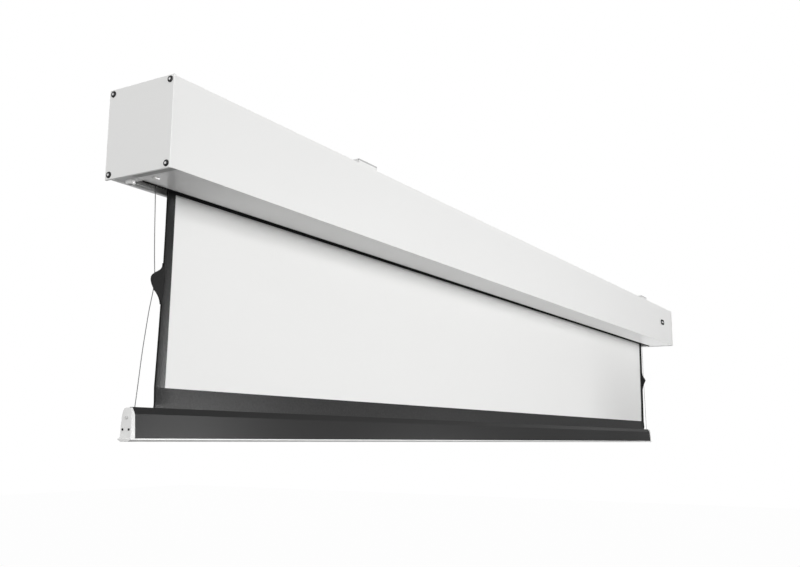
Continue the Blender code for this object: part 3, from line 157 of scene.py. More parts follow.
class ScreenStudio(bpy.types.PropertyGroup):
    lens: bpy.props.FloatProperty(
        name="Focal Length", description="Focal length on a 36 mm wide sensor, in millimetres",
        default=40.345, min=20, max=200)
    key_power: bpy.props.FloatProperty(
        name="Key Power", description="Power of the large lamp in front, in watts",
        default=79.0, min=0, max=2000)
    low_power: bpy.props.FloatProperty(
        name="Low Power", description="Power of the low panel in front, in watts",
        default=14.0, min=0, max=2000)
    side_power: bpy.props.FloatProperty(
        name="Side Power", description="Power of the lamp beyond the left end, in watts",
        default=37.5, min=0, max=2000)
    sheen_power: bpy.props.FloatProperty(
        name="Sheen Power", description="Power of the card mirrored at the bar's left end, in watts",
        default=230.0, min=0, max=2000)
    corner_power: bpy.props.FloatProperty(
        name="Corner Power", description="Power of the card mirrored in the border's corner, in watts",
        default=38.0, min=0, max=2000)
    middle_power: bpy.props.FloatProperty(
        name="Middle Power", description="Power of the card mirrored in the bar's middle, in watts",
        default=20.0, min=0, max=2000)
    end_power: bpy.props.FloatProperty(
        name="End Power", description="Power of the low lamp beyond the right end, in watts",
        default=27.0, min=0, max=2000)
    sky: bpy.props.FloatProperty(
        name="Sky", description="Strength of the soft light from all round",
        default=0.435, min=0, max=2)
    floor_level: bpy.props.FloatProperty(
        name="Floor Level", description="Height of the studio floor",
        default=-2.7, min=-5, max=-2, subtype="DISTANCE", unit="LENGTH")


# Small tools


def linear(hex_colour, share=1.0):
    """An sRGB hex value as the linear colour that a shader takes, darker or lighter by a share."""
    channels = [int(hex_colour[k:k + 2], 16) / 255 for k in (1, 3, 5)]
    return (*(share * (c / 12.92 if c <= 0.04045 else ((c + 0.055) / 1.055) ** 2.4) for c in channels), 1.0)


def along(value, start, end):
    """How far a value has come from start to end, kept from 0 to 1."""
    return min(1.0, max(0.0, (value - start) / (end - start)))


def add_node(tree, kind, settings=None, links=None):
    """A node with its settings. A setting is a property of the node or the default of an input.

    A mix of colours has its share in input 0 and its two colours in inputs 6 and 7.
    """
    node = tree.nodes.new(kind)
    for name, value in (settings or {}).items():
        if isinstance(name, str) and hasattr(node, name):
            setattr(node, name, value)
        else:
            node.inputs[name].default_value = value
    for name, socket in (links or {}).items():
        tree.links.new(socket, node.inputs[name])
    return node


def new_material(name, **sockets):
    """A material with its node tree and its shader, whose plain numbers are given by socket name."""
    made = bpy.data.materials.new(name)
    made.use_nodes = True
    shader = made.node_tree.nodes["Principled BSDF"]
    for socket, value in sockets.items():
        shader.inputs[socket.replace("_", " ")].default_value = value
    return made, made.node_tree, shader


def new_mesh(bm, name, body, slot, *materials, smooth=40, cad=(), fix_normals=False):
    """A finished piece from a bmesh: it takes its materials, rides on its body and replaces CAD nodes."""
    if fix_normals:
        bmesh.ops.remove_doubles(bm, verts=bm.verts, dist=1e-6)
        bmesh.ops.recalc_face_normals(bm, faces=bm.faces)
    mesh = bpy.data.meshes.new(name)
    bm.to_mesh(mesh)
    bm.free()
    if smooth:
        mesh.shade_smooth()
        mesh.set_sharp_from_angle(angle=math.radians(smooth))
    piece = bpy.data.objects.new(name, mesh)
    bpy.context.scene.collection.objects.link(piece)
    for one in materials:
        mesh.materials.append(one)
    if body:
        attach(piece, body)
    if cad:
        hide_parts(*cad)
    return piece


def coat(node, finish):
    """Gives a CAD node, whose shape is right as it is, its finish."""
    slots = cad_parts[node].material_slots
    if not slots:
        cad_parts[node].data.materials.append(finish)
    for one in slots:
        one.material = finish


def hide_from(thing, *rays):
    """Hides a lamp or a panel of the studio from some kinds of ray."""
    for ray in rays:
        setattr(thing, f"visible_{ray}", False)


def verts_of(geom):
    return [v for v in geom if isinstance(v, bmesh.types.BMVert)]


def edges_of(geom):
    return [e for e in geom if isinstance(e, bmesh.types.BMEdge)]


def add_box(bm, low, high):
    """A box between its lowest and highest corners."""
    return bmesh.ops.create_cube(bm, size=1.0, matrix=Matrix.LocRotScale((low + high) / 2, None, high - low))


def add_upright(bm, low, high, y, across=1, up=1):
    """A grid that faces the front at y and fills the x and z of two corners."""
    return bmesh.ops.create_grid(bm, x_segments=across, y_segments=up, size=0.5, matrix=Matrix.LocRotScale(
        Vector(((low[0] + high[0]) / 2, y, (low[-1] + high[-1]) / 2)), Euler((math.pi / 2, 0, 0)),
        Vector((high[0] - low[0], high[-1] - low[-1], 1))))


def ease(bm, geom, radius, segments, affect="EDGES"):
    """Rounds edges or corners, or with one segment chamfers them."""
    bmesh.ops.bevel(bm, geom=list(geom), offset=radius, segments=segments, profile=0.5, affect=affect,
                    material=-1)


def turned(profile, steps):
    """A bmesh of a profile of (radius, height) points spun about Z."""
    bm = bmesh.new()
    verts = [bm.verts.new((r, 0.0, z)) for r, z in profile]
    edges = [bm.edges.new(pair) for pair in zip(verts, verts[1:])]
    bmesh.ops.spin(bm, geom=verts + edges, cent=(0, 0, 0), axis=(0, 0, 1), dvec=(0, 0, 0),
                   angle=math.tau, steps=steps, use_merge=True)
    bmesh.ops.remove_doubles(bm, verts=bm.verts, dist=1e-7)
    return bm


def domed(radius, foot, rise):
    """The round top of a turned head's profile, from just over its rim to near its middle."""
    return [(radius * math.cos(a), foot + rise * math.sin(a))
            for a in (math.radians(12 * k) for k in range(1, 6))]


def toward(axis, place):
    """A matrix that turns +Z to the axis and moves the origin to the place."""
    turn = Vector(axis).to_track_quat("Z", "Y").to_matrix().to_4x4()
    return Matrix.Translation(place) @ turn


def stand_in(bm, node, body, slot, axis, foot, *finishes, smooth=35):
    """Puts a piece made along +Z on its foot and its axis, in the place of its CAD node."""
    bmesh.ops.transform(bm, matrix=toward(axis, foot), verts=bm.verts)
    new_mesh(bm, f"{node}_detail", body, slot, *finishes, smooth=smooth, cad=[node], fix_normals=True)


def centre_of(node):
    low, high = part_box(node)
    return (low + high) / 2


def lying(node, inward):
    """The length, the radius and the inner end's middle of a round node that lies along X."""
    low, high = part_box(node)
    middle = (low + high) / 2
    foot = Vector((high.x if inward > 0 else low.x, middle.y, middle.z))
    return high.x - low.x, (high.z - low.z) / 2, foot


def from_end(inward, margin):
    """The x of a place at a distance from the case's left or right end."""
    return (CASE_LEFT if inward > 0 else CASE_RIGHT) + inward * margin


# Finishes


def skin(tree, shader, pattern, dark, light, relief=None, strength=0.0, depth=0.0):
    """Lets a pattern take the shader's colour from dark to light, and a relief raise its surface."""
    tone = add_node(tree, "ShaderNodeMix", {"data_type": "RGBA", 6: dark, 7: light}, {0: pattern})
    tree.links.new(tone.outputs[2], shader.inputs["Base Color"])
    if strength:
        bump = add_node(tree, "ShaderNodeBump", {"Strength": strength, "Distance": depth},
                        {"Height": relief})
        tree.links.new(bump.outputs["Normal"], shader.inputs["Normal"])


def powder_coat(name, colour, roughness=0.3, level=0.3):
    """Powder-coated aluminium: an even satin skin whose faint orange peel softens the highlights.

    Real peel is about 1 mm across. It is drawn at 2.5 mm so that it shows.
    """
    made, tree, shader = new_material(name, Roughness=roughness, Specular_IOR_Level=level)
    where = add_node(tree, "ShaderNodeTexCoord").outputs["Object"]
    peel = add_node(tree, "ShaderNodeTexNoise", {"Scale": 1 / 0.0025, "Detail": 2.0, "Roughness": 0.5},
                    {"Vector": where})
    cloud = add_node(tree, "ShaderNodeTexNoise", {"Scale": 1 / 0.35, "Detail": 3.0}, {"Vector": where})
    skin(tree, shader, cloud.outputs["Fac"], linear(colour, 0.985), linear(colour, 1.012),
         peel.outputs["Fac"], 0.25, 0.00012)
    return made


def painted_shade_edge(made, height, depth, colour):
    """Paints a coated sheet's upper front edge flat grey above a height and ahead of a depth: a painted
    shade.
    """
    tree = made.node_tree
    shader = tree.nodes["Principled BSDF"]
    coated = shader.inputs["Base Color"].links[0].from_socket
    where = add_node(tree, "ShaderNodeTexCoord").outputs["Object"]
    split = add_node(tree, "ShaderNodeSeparateXYZ", None, {0: where})
    above = add_node(tree, "ShaderNodeMath", {"operation": "GREATER_THAN", 1: height},
                     {0: split.outputs["Z"]})
    ahead = add_node(tree, "ShaderNodeMath", {"operation": "LESS_THAN", 1: depth},
                     {0: split.outputs["Y"]})
    both = add_node(tree, "ShaderNodeMath", {"operation": "MULTIPLY"},
                    {0: above.outputs[0], 1: ahead.outputs[0]})
    mix = add_node(tree, "ShaderNodeMix", {"data_type": "RGBA", 7: linear(colour)},
                   {0: both.outputs[0], 6: coated})
    tree.links.new(mix.outputs[2], shader.inputs["Base Color"])


def black_oxide(name):
    """Blackened steel screws: dark, hard and a little oily, in uneven patches."""
    made, tree, shader = new_material(name, Metallic=0.75, Roughness=0.34)
    where = add_node(tree, "ShaderNodeTexCoord").outputs["Object"]
    speck = add_node(tree, "ShaderNodeTexNoise", {"Scale": 1 / 0.0006, "Detail": 3.0}, {"Vector": where})
    ramp = add_node(tree, "ShaderNodeValToRGB", None, {"Fac": speck.outputs["Fac"]})
    for stop, place, colour in zip(ramp.color_ramp.elements, (0.35, 0.75), ("#121212", "#2E2E30")):
        stop.position = place
        stop.color = linear(colour)
    tree.links.new(ramp.outputs["Color"], shader.inputs["Base Color"])
    rough = add_node(tree, "ShaderNodeMapRange", {"To Min": 0.28, "To Max": 0.48},
                     {"Value": speck.outputs["Fac"]})
    tree.links.new(rough.outputs["Result"], shader.inputs["Roughness"])
    return made


def metal(name, colour, roughness, grain, stretch):
    """Bare metal. The grain is the drawing or rolling lines, stretched along the axes by stretch."""
    made, tree, shader = new_material(name, Metallic=1.0, Roughness=roughness)
    where = add_node(tree, "ShaderNodeTexCoord").outputs["Object"]
    drawn = add_node(tree, "ShaderNodeMapping", {"Scale": stretch}, {"Vector": where})
    lines = add_node(tree, "ShaderNodeTexNoise", {"Scale": 1 / grain, "Detail": 4.0},
                     {"Vector": drawn.outputs["Vector"]})
    rough = add_node(tree, "ShaderNodeMapRange", {"To Min": roughness * 0.8, "To Max": roughness * 1.3},
                     {"Value": lines.outputs["Fac"]})
    tree.links.new(rough.outputs["Result"], shader.inputs["Roughness"])
    skin(tree, shader, lines.outputs["Fac"], linear(colour, 0.9), linear(colour, 1.06))
    return made


def moulded_plastic(name, colour, roughness=0.45, level=0.5):
    """Injection-moulded ABS: a fine spark-eroded texture of about 0.3 mm, drawn at 0.8 mm."""
    made, tree, shader = new_material(name, Roughness=roughness, Specular_IOR_Level=level)
    where = add_node(tree, "ShaderNodeTexCoord").outputs["Object"]
    spark = add_node(tree, "ShaderNodeTexNoise", {"Scale": 1 / 0.0008, "Detail": 3.0}, {"Vector": where})
    skin(tree, shader, spark.outputs["Fac"], linear(colour, 0.97), linear(colour, 1.02),
         spark.outputs["Fac"], 0.3, 0.00005)
    return made


def projection_pvc(name, colour):
    """Matt white projection coating on PVC: no gloss at all, and a very fine even tooth."""
    made, tree, shader = new_material(name, Roughness=1.0, Specular_IOR_Level=0.0)
    where = add_node(tree, "ShaderNodeTexCoord").outputs["Object"]
    tooth = add_node(tree, "ShaderNodeTexNoise", {"Scale": 1 / 0.0012, "Detail": 2.0}, {"Vector": where})
    skin(tree, shader, tooth.outputs["Fac"], linear(colour, 0.985), linear(colour, 1.01),
         tooth.outputs["Fac"], 0.2, 0.00004)
    return made


def grained_pvc(name, colour, grain, level=0.035, roughness=0.28):
    """Black blackout PVC with an embossed grain, whose low sheen lightens where lamps graze it.

    The emboss is about 0.7 mm. It is drawn coarser, so that it shows as the photograph has it.
    """
    made, tree, shader = new_material(name, Roughness=roughness, Specular_IOR_Level=level)
    where = add_node(tree, "ShaderNodeTexCoord").outputs["Object"]
    emboss = add_node(tree, "ShaderNodeTexVoronoi", {"feature": "SMOOTH_F1", "Scale": 1 / grain},
                      {"Vector": where})
    fleck = add_node(tree, "ShaderNodeTexNoise", {"Scale": 1 / (grain * 1.6), "Detail": 3.0},
                     {"Vector": where})
    skin(tree, shader, fleck.outputs["Fac"], linear(colour, 0.6), linear(colour, 1.5),
         emboss.outputs["Distance"], 0.5, 0.00025)
    return made


def brush_pile(name):
    """Black nylon pile: fibres along Z that hold the light, darker down between the tufts."""
    made, tree, shader = new_material(name, Roughness=0.9, Specular_IOR_Level=0.05)
    where = add_node(tree, "ShaderNodeTexCoord").outputs["Object"]
    upright = add_node(tree, "ShaderNodeMapping", {"Scale": (1.0, 1.0, 0.06)}, {"Vector": where})
    fibres = add_node(tree, "ShaderNodeTexNoise", {"Scale": 1 / 0.0004, "Detail": 3.0},
                      {"Vector": upright.outputs["Vector"]})
    skin(tree, shader, fibres.outputs["Fac"], linear("#020202"), linear("#0E0E0E"),
         fibres.outputs["Fac"], 0.8, 0.0002)
    return made


def braided_cord(name, pitch):
    """Grey braided polyester: two sets of four strands crossing, drawn on the cord's own UV map, with painted
    shade down between the strands.
    """
    made, tree, shader = new_material(name, Roughness=0.6, Sheen_Weight=0.15)
    where = add_node(tree, "ShaderNodeUVMap", {"uv_map": "round_and_along"}).outputs["UV"]
    strands = 4
    heights = []
    for slant in (1, -1):
        turn = add_node(tree, "ShaderNodeMapping", {"Scale": (strands, slant / pitch * strands, 1.0)},
                        {"Vector": where})
        split = add_node(tree, "ShaderNodeSeparateXYZ", None, {0: turn.outputs["Vector"]})
        total = add_node(tree, "ShaderNodeMath", {"operation": "ADD"},
                         {0: split.outputs["X"], 1: split.outputs["Y"]})
        wave = add_node(tree, "ShaderNodeMath", {"operation": "PINGPONG", 1: 0.5}, {0: total.outputs[0]})
        heights.append(wave.outputs[0])
    weave = add_node(tree, "ShaderNodeMath", {"operation": "MAXIMUM"}, {0: heights[0], 1: heights[1]})
    # The tone follows the weave's height: painted shade darkens the grooves between the strands.
    tone = add_node(tree, "ShaderNodeMapRange", {"From Max": 0.5}, {"Value": weave.outputs[0]})
    skin(tree, shader, tone.outputs["Result"], linear("#262626"), linear("#585858"),
         weave.outputs[0], 0.6, 0.00015)
    return made


def window_bezel(name):
    """The infrared window's frame: black ABS, matt enough to stay black where the eye grazes it."""
    made, tree, shader = new_material(name, Roughness=0.9, Specular_IOR_Level=0.0)
    where = add_node(tree, "ShaderNodeTexCoord").outputs["Object"]
    swirl = add_node(tree, "ShaderNodeTexNoise", {"Scale": 1 / 0.0008, "Detail": 2.0}, {"Vector": where})
    skin(tree, shader, swirl.outputs["Fac"], linear("#030303"), linear("#080808"))
    return made


# Operators


class SCREEN_OT_stage(bpy.types.Operator):
    """Set the camera, the lamps, the pale floor and the white surroundings"""

    bl_idname = "screen.stage"
    bl_label = "Camera, Lamps and Floor"

    # The camera's place, the angles of its view round from +X and up from level, and its roll
    PLACE = (-2.3667, -1.0147, -0.5495)
    YAW = math.radians(30.913)
    PITCH = math.radians(9.886)
    ROLL = 0.00463
    FLAG_PLACE = Vector((3.0, -1.0, -0.62))
    FLAG_SIZE = Vector((1.2, 1.9, 1.0))
    # The net's corners in x and z, and its place in y
    NET_LOW = (0.62, -2.4)
    NET_HIGH = (2.22, -0.2)
    NET_Y = -0.5

    def execute(self, context):
        studio = context.scene.screen_studio
        corner = (CASE_LEFT, 0.0, -0.47)
        self.camera(context, studio)
        self.floor(studio)
        self.surroundings(context, studio)
        # Each lamp's name, place, aim, width and height, power, and the rays that don't see it
        for name, place, aim, size, power, rays in (
                ("key_lamp", (-1.0, -3.6, 0.35), (0.1, 0.0, -0.3), (2.6, 1.6), studio.key_power, ()),
                ("low_panel", (0.6, -3.2, -0.95), (0.0, 0.0, -0.3), (1.5, 0.9), studio.low_power, ()),
                ("side_lamp", (-4.0, -0.2, 0.2), (CASE_LEFT, 0.0, -0.1), (1.6, 1.6), studio.side_power, ()),
                ("end_lamp", (2.7, -0.1, -0.8), (1.2, -0.03, CASE_FLOOR), (0.5, 0.5), studio.end_power,
                 ("glossy",)),
                ("sheen_card", (0.4, -2.09, -0.8), corner, (0.5, 0.5), studio.sheen_power, ("diffuse",)),
                ("corner_card", (0.85, -2.09, -0.3), corner, (0.25, 0.7), studio.corner_power,
                 ("diffuse",)),
                ("middle_card", (2.9, -1.9, -0.65), (-0.4, 0.0, -0.53), (0.7, 0.9), studio.middle_power,
                 ("diffuse",))):
            hide_from(self.lamp(name, place, aim, size, power), *rays)
        self.flag()
        self.net()
        return {"FINISHED"}

    def camera(self, context, studio):
        data = bpy.data.cameras.new("photo_camera")
        data.lens = studio.lens
        data.sensor_width = 36
        camera = bpy.data.objects.new("photo_camera", data)
        context.scene.collection.objects.link(camera)
        level = math.cos(self.PITCH)
        ahead = Vector((level * math.cos(self.YAW), level * math.sin(self.YAW), math.sin(self.PITCH)))
        right = ahead.cross(Vector((0, 0, 1))).normalized()
        up = right.cross(ahead)
        turn = Matrix((right, up, -ahead)).transposed().to_4x4()
        camera.matrix_world = Matrix.Translation(self.PLACE) @ turn @ Matrix.Rotation(self.ROLL, 4, "Z")
        context.scene.camera = camera

    def lamp(self, name, place, aim, size, power):
        data = bpy.data.lights.new(name, "AREA")
        data.shape = "RECTANGLE"
        data.size, data.size_y = size
        data.energy = power
        lamp = bpy.data.objects.new(name, data)
        bpy.context.scene.collection.objects.link(lamp)
        lamp.location = place
        lamp.rotation_euler = (Vector(aim) - Vector(place)).to_track_quat("-Z", "Y").to_euler()
        return lamp

    def seen(self, tree):
        """1 for camera, glossy and transmission rays, so that metal and glass show white too, else 0."""
        rays = add_node(tree, "ShaderNodeLightPath").outputs
        either = add_node(tree, "ShaderNodeMath", {"operation": "MAXIMUM"},
                          {0: rays["Is Camera Ray"], 1: rays["Is Glossy Ray"]})
        return add_node(tree, "ShaderNodeMath", {"operation": "MAXIMUM"},
                        {0: either.outputs[0], 1: rays["Is Transmission Ray"]}).outputs[0]

    def floor(self, studio):
        """A pale floor that is nearly white to the eye and keeps a share of the object's shadow."""
        bm = bmesh.new()
        bmesh.ops.create_grid(bm, x_segments=1, y_segments=1, size=30.0,
                              matrix=Matrix.Translation((0, 0, studio.floor_level)))
        made, tree, shader = new_material("studio_floor", Roughness=0.9, Base_Color=linear("#848484"))
        share = add_node(tree, "ShaderNodeMath", {"operation": "MULTIPLY", 1: 0.85}, {0: self.seen(tree)})
        white = add_node(tree, "ShaderNodeEmission", {"Color": (1, 1, 1, 1), "Strength": 1.13})
        mix = add_node(tree, "ShaderNodeMixShader", None,
                       {0: share.outputs[0], 1: shader.outputs[0], 2: white.outputs[0]})
        tree.links.new(mix.outputs[0], tree.nodes["Material Output"].inputs["Surface"])
        new_mesh(bm, "studio_floor", None, None, made, smooth=0)

    def surroundings(self, context, studio):
        world = bpy.data.worlds.new("studio_white")
        context.scene.world = world
        world.use_nodes = True
        tree = world.node_tree
        strength = add_node(tree, "ShaderNodeMapRange", {"To Min": studio.sky, "To Max": 1.0},
                            {"Value": self.seen(tree)})
        background = tree.nodes["Background"]
        background.inputs["Color"].default_value = (1, 1, 1, 1)
        tree.links.new(strength.outputs["Result"], background.inputs["Strength"])

    def flag(self):
        """A grey flag beyond the right end, which only glossy rays see. It darkens the bar there."""
        bm = bmesh.new()
        bmesh.ops.create_grid(bm, x_segments=1, y_segments=1, size=0.5, matrix=Matrix.LocRotScale(
            self.FLAG_PLACE, Euler((0, math.pi / 2, 0)), self.FLAG_SIZE))
        made, tree, _ = new_material("grey_flag_cloth")
        grey = add_node(tree, "ShaderNodeEmission", {"Color": (1, 1, 1, 1), "Strength": 0.5})
        tree.links.new(grey.outputs[0], tree.nodes["Material Output"].inputs["Surface"])
        flag = new_mesh(bm, "grey_flag", None, None, made, smooth=0)
        hide_from(flag, "camera", "diffuse", "shadow")

    def net(self):
        """A net before the picture's right end. It holds back half of the lamps' light there."""
        bm = bmesh.new()
        add_upright(bm, self.NET_LOW, self.NET_HIGH, self.NET_Y)
        made, tree, shader = new_material("studio_net", Roughness=1.0, Base_Color=linear("#101010"))
        gaps = add_node(tree, "ShaderNodeBsdfTransparent")
        mix = add_node(tree, "ShaderNodeMixShader", {0: 0.5}, {1: shader.outputs[0], 2: gaps.outputs[0]})
        tree.links.new(mix.outputs[0], tree.nodes["Material Output"].inputs["Surface"])
        net = new_mesh(bm, "studio_net", None, None, made, smooth=0)
        hide_from(net, "camera", "diffuse", "glossy")


class SCREEN_OT_case(bpy.types.Operator):
    """Coat the case's extrusions and end plates, and make the darker matt strips of painted shade beside the
    plates
    """

    bl_idname = "screen.case"
    bl_label = "Case"

    # The strip of painted shade: its start from the case's end, width, thickness, eased edge and gap to the
    # brush
    SHADE_STRIP_START = 0.0043
    SHADE_STRIP_WIDTH = 0.0125
    SHADE_STRIP_THICKNESS = 0.0005
    SHADE_STRIP_EDGE = 0.00015
    SHADE_STRIP_GAP_TO_BRUSH = 0.001

    def execute(self, context):
        colours = context.scene.screen_colours
        coated = powder_coat("white_powder_coat", colours.coat)
        for node in ("rear_housing", "front_cover", "left_end_plate", "right_end_plate"):
            coat(node, coated)
        # A darker matt grey for the strips beside the end plates: painted shade.
        matt = moulded_plastic("painted_shade_abs", "#CFCFCE", 0.8, 0.0)
        for side, inward in SIDES:
            self.shade_strip(side, inward, matt)
        return {"FINISHED"}

    def shade_strip(self, side, inward, matt):
        """A thin matt strip of darker grey across the front flange's underside, just inside the end plate: a
        painted shade.
        """
        ends = sorted(from_end(inward, self.SHADE_STRIP_START + part) for part in (0, self.SHADE_STRIP_WIDTH))
        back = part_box("slot_wiper")[0].y - self.SHADE_STRIP_GAP_TO_BRUSH
        bm = bmesh.new()
        add_box(bm, Vector((ends[0], SKIN_LOW.y, SKIN_LOW.z - self.SHADE_STRIP_THICKNESS)),
                Vector((ends[1], back, SKIN_LOW.z)))
        ease(bm, bm.edges, self.SHADE_STRIP_EDGE, 1)
        new_mesh(bm, f"{side}_end_shade_strip", "case", "white_plastic", matt, smooth=0)


class SCREEN_OT_plate_screws(bpy.types.Operator):
    """Make the button-head socket screws of both end plates"""

    bl_idname = "screen.plate_screws"
    bl_label = "End Plate Screws"

    SOCKET_RIM = 0.0002

    def execute(self, context):
        sizes = context.scene.screen_hardware
        finish = black_oxide("black_oxide_steel")
        # The sockets take bright steel: a painted highlight in each screw's socket.
        socket_highlight = metal("painted_highlight_socket_steel", "#D2D2D2", 0.5, 0.0006, (1.0, 1.0, 1.0))
        for side, inward in SIDES:
            for place in ("front_bottom", "front_top", "rear_bottom", "rear_top"):
                self.screw(f"{side}_plate_screw_{place}", inward, sizes.socket_width, finish, socket_highlight)
        return {"FINISHED"}

    def screw(self, node, inward, socket_width, finish, socket_highlight):
        """A plain shank and a button head, whose crown leaves a round rim open for the socket."""
        length, head, foot = lying(node, inward)
        low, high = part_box(node)
        rise = CASE_LEFT - low.x if inward > 0 else high.x - CASE_RIGHT
        shank = head * 0.46
        rim = socket_width * 0.72
        seat = length - rise
        crown = math.acos(rim / head)
        profile = [(0.0, 0.0), (shank * 0.85, 0.0), (shank, shank * 0.2), (shank, seat), (head * 0.97, seat),
                   (head, seat + rise * 0.06)]
        profile += [(head * math.cos(a), seat + rise * (0.2 + 0.8 * math.sin(a) / math.sin(crown)))
                    for a in (crown * k / 7 for k in range(7))]
        profile += [(rim, length)]
        bm = turned(profile, 48)
        self.socket(bm, length, socket_width, rise)
        stand_in(bm, node, "case", "dark_screw", (-inward, 0, 0), foot, finish, socket_highlight, smooth=32)

    def socket(self, bm, top, width, rise):
        """A hexagon sunk into the head, its corners eased down from the rim."""
        circle = [e for e in bm.edges if e.is_boundary and all(abs(v.co.z - top) < 1e-7 for v in e.verts)]
        mouth = top - self.SOCKET_RIM
        made = bmesh.ops.create_circle(bm, segments=6, radius=width / 2 / math.cos(math.radians(30)),
                                       matrix=Matrix.Translation((0, 0, mouth)))
        hexagon = list({e for v in made["verts"] for e in v.link_edges})
        parts = bmesh.ops.subdivide_edges(bm, edges=hexagon, cuts=7)
        hexagon = [e for e in set(edges_of(parts["geom_inner"] + parts["geom_split"])) if not e.link_faces]
        bmesh.ops.bridge_loops(bm, edges=circle + hexagon)
        dark = set(bm.faces)
        walls = bmesh.ops.extrude_edge_only(bm, edges=hexagon)["geom"]
        bmesh.ops.translate(bm, verts=verts_of(walls), vec=(0, 0, -rise * 0.4))
        ring = [e for e in edges_of(walls) if e.is_boundary]
        floor = bmesh.ops.extrude_edge_only(bm, edges=ring)["geom"]
        bmesh.ops.pointmerge(bm, verts=verts_of(floor), merge_co=(0, 0, mouth - rise * 0.5))
        # The head takes the black finish, and the socket takes the bright steel of the painted highlight.
        for face in bm.faces:
            face.material_index = 0 if face in dark else 1


class SCREEN_OT_slot_brush(bpy.types.Operator):
    """Make the brush along the slot's front edge: a holder and its tufts"""

    bl_idname = "screen.slot_brush"
    bl_label = "Slot Brush"

    HOLDER_EDGE = 0.0003
    # Two rows of tufts: each one's share of the holder's depth, and how much shorter it is
    ROWS = ((0.64, 0.0), (0.87, 0.0010))
    UNEVEN = 0.0006
    ROOT = 0.0004

    def execute(self, context):
        sizes = context.scene.screen_hardware
        low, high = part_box("slot_wiper")
        pile = brush_pile("black_nylon_pile")
        holder = moulded_plastic("pale_holder_pvc", "#D8D8D7", 0.5, 0.3)
        random.seed(5)
        bm = bmesh.new()
        add_box(bm, Vector((low.x, low.y, SKIN_LOW.z)), high)
        ease(bm, bm.edges, self.HOLDER_EDGE, 1)
        for face in bm.faces:
            face.material_index = 1
        pitch = sizes.tuft_pitch
        for k in range(int((high.x - low.x) / pitch)):
            for share, shorter in self.ROWS:
                x = low.x + pitch * (k + 0.5 + random.uniform(-0.2, 0.2))
                y = low.y + (high.y - low.y) * share
                foot = low.z + shorter + random.uniform(0.0, self.UNEVEN)
                tall = SKIN_LOW.z - foot + self.ROOT
                bmesh.ops.create_cone(
                    bm, cap_ends=False, segments=4, radius1=pitch * 0.32, radius2=pitch * 0.72, depth=tall,
                    matrix=Matrix.Translation((x, y, foot + tall / 2)) @ Matrix.Rotation(math.pi / 4, 4, "Z"))
        new_mesh(bm, "slot_brush", "case", "black_rubber", pile, holder, smooth=0, cad=["slot_wiper"])
        return {"FINISHED"}


class SCREEN_OT_slot_fittings(bpy.types.Operator):
    """Make the cable gland and the flange's plug, and finish the fillers at the slot's ends"""

    bl_idname = "screen.slot_fittings"
    bl_label = "Slot Fittings"

    GLAND_BORE = 0.0035
    PLUG_CORNER = 0.0026
    PLUG_EDGE = 0.0018
    PLUG_RIM = 0.0012
    PLUG_OVERLAP = 0.0004

    def execute(self, context):
        white = moulded_plastic("white_abs", "#F1F1F0", 0.38)
        grey = moulded_plastic("pale_grey_abs", "#D9D9D8", 0.5)
        for side, _ in SIDES:
            coat(f"{side}_slot_filler", grey)
        self.gland(white)
        self.plug(white)
        return {"FINISHED"}

    def gland(self, white):
        """A domed grommet, pushed up through the skin and open for a cord."""
        low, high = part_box("cable_gland")
        middle = (low + high) / 2
        head = (high.x - low.x) / 2
        neck = head * 2 / 3
        bore = self.GLAND_BORE
        tall = high.z - low.z
        seat = high.z - SKIN_FOOT
        fall = tall - seat
        profile = [(bore, 0.0), (neck * 0.95, 0.0), (neck, 0.0004), (neck, seat), (head, seat),
                   (head, seat + fall * 0.4)]
        profile += [(head * (0.62 + 0.38 * math.cos(a)), seat + fall * (0.4 + 0.6 * math.sin(a)))
                    for a in (math.radians(k * 15) for k in range(1, 7))]
        profile += [(bore + 0.0008, tall), (bore, tall - 0.0006), (bore, 0.0)]
        stand_in(turned(profile, 48), "cable_gland", "case", "white_plastic", (0, 0, -1),
                 (middle.x, middle.y, high.z), white)

    def plug(self, white):
        """A snap-in plug: a pillow-shaped head with a neck through the skin."""
        low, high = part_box("underside_plug")
        rim = Vector((self.PLUG_RIM, self.PLUG_RIM, 0))
        bm = bmesh.new()
        self.block(bm, low, Vector((high.x, high.y, SKIN_FOOT)), self.PLUG_CORNER, self.PLUG_EDGE)
        self.block(bm, Vector((low.x, low.y, SKIN_FOOT - self.PLUG_OVERLAP)) + rim, high - rim, 0.0004, 0.0)
        new_mesh(bm, "underside_plug_detail", "case", "white_plastic", white, smooth=45,
                 cad=["underside_plug"])

    def block(self, bm, low, high, corner, edge):
        """A block with round corners seen from below, and a rounded lower rim."""
        made = add_box(bm, low, high)
        upright = [e for e in {e for v in made["verts"] for e in v.link_edges}
                   if abs(e.verts[0].co.z - e.verts[1].co.z) > 1e-6]
        ease(bm, upright, corner, 5)
        if edge:
            ease(bm, [e for e in bm.edges if all(abs(v.co.z - low.z) < 1e-7 for v in e.verts)], edge, 5)


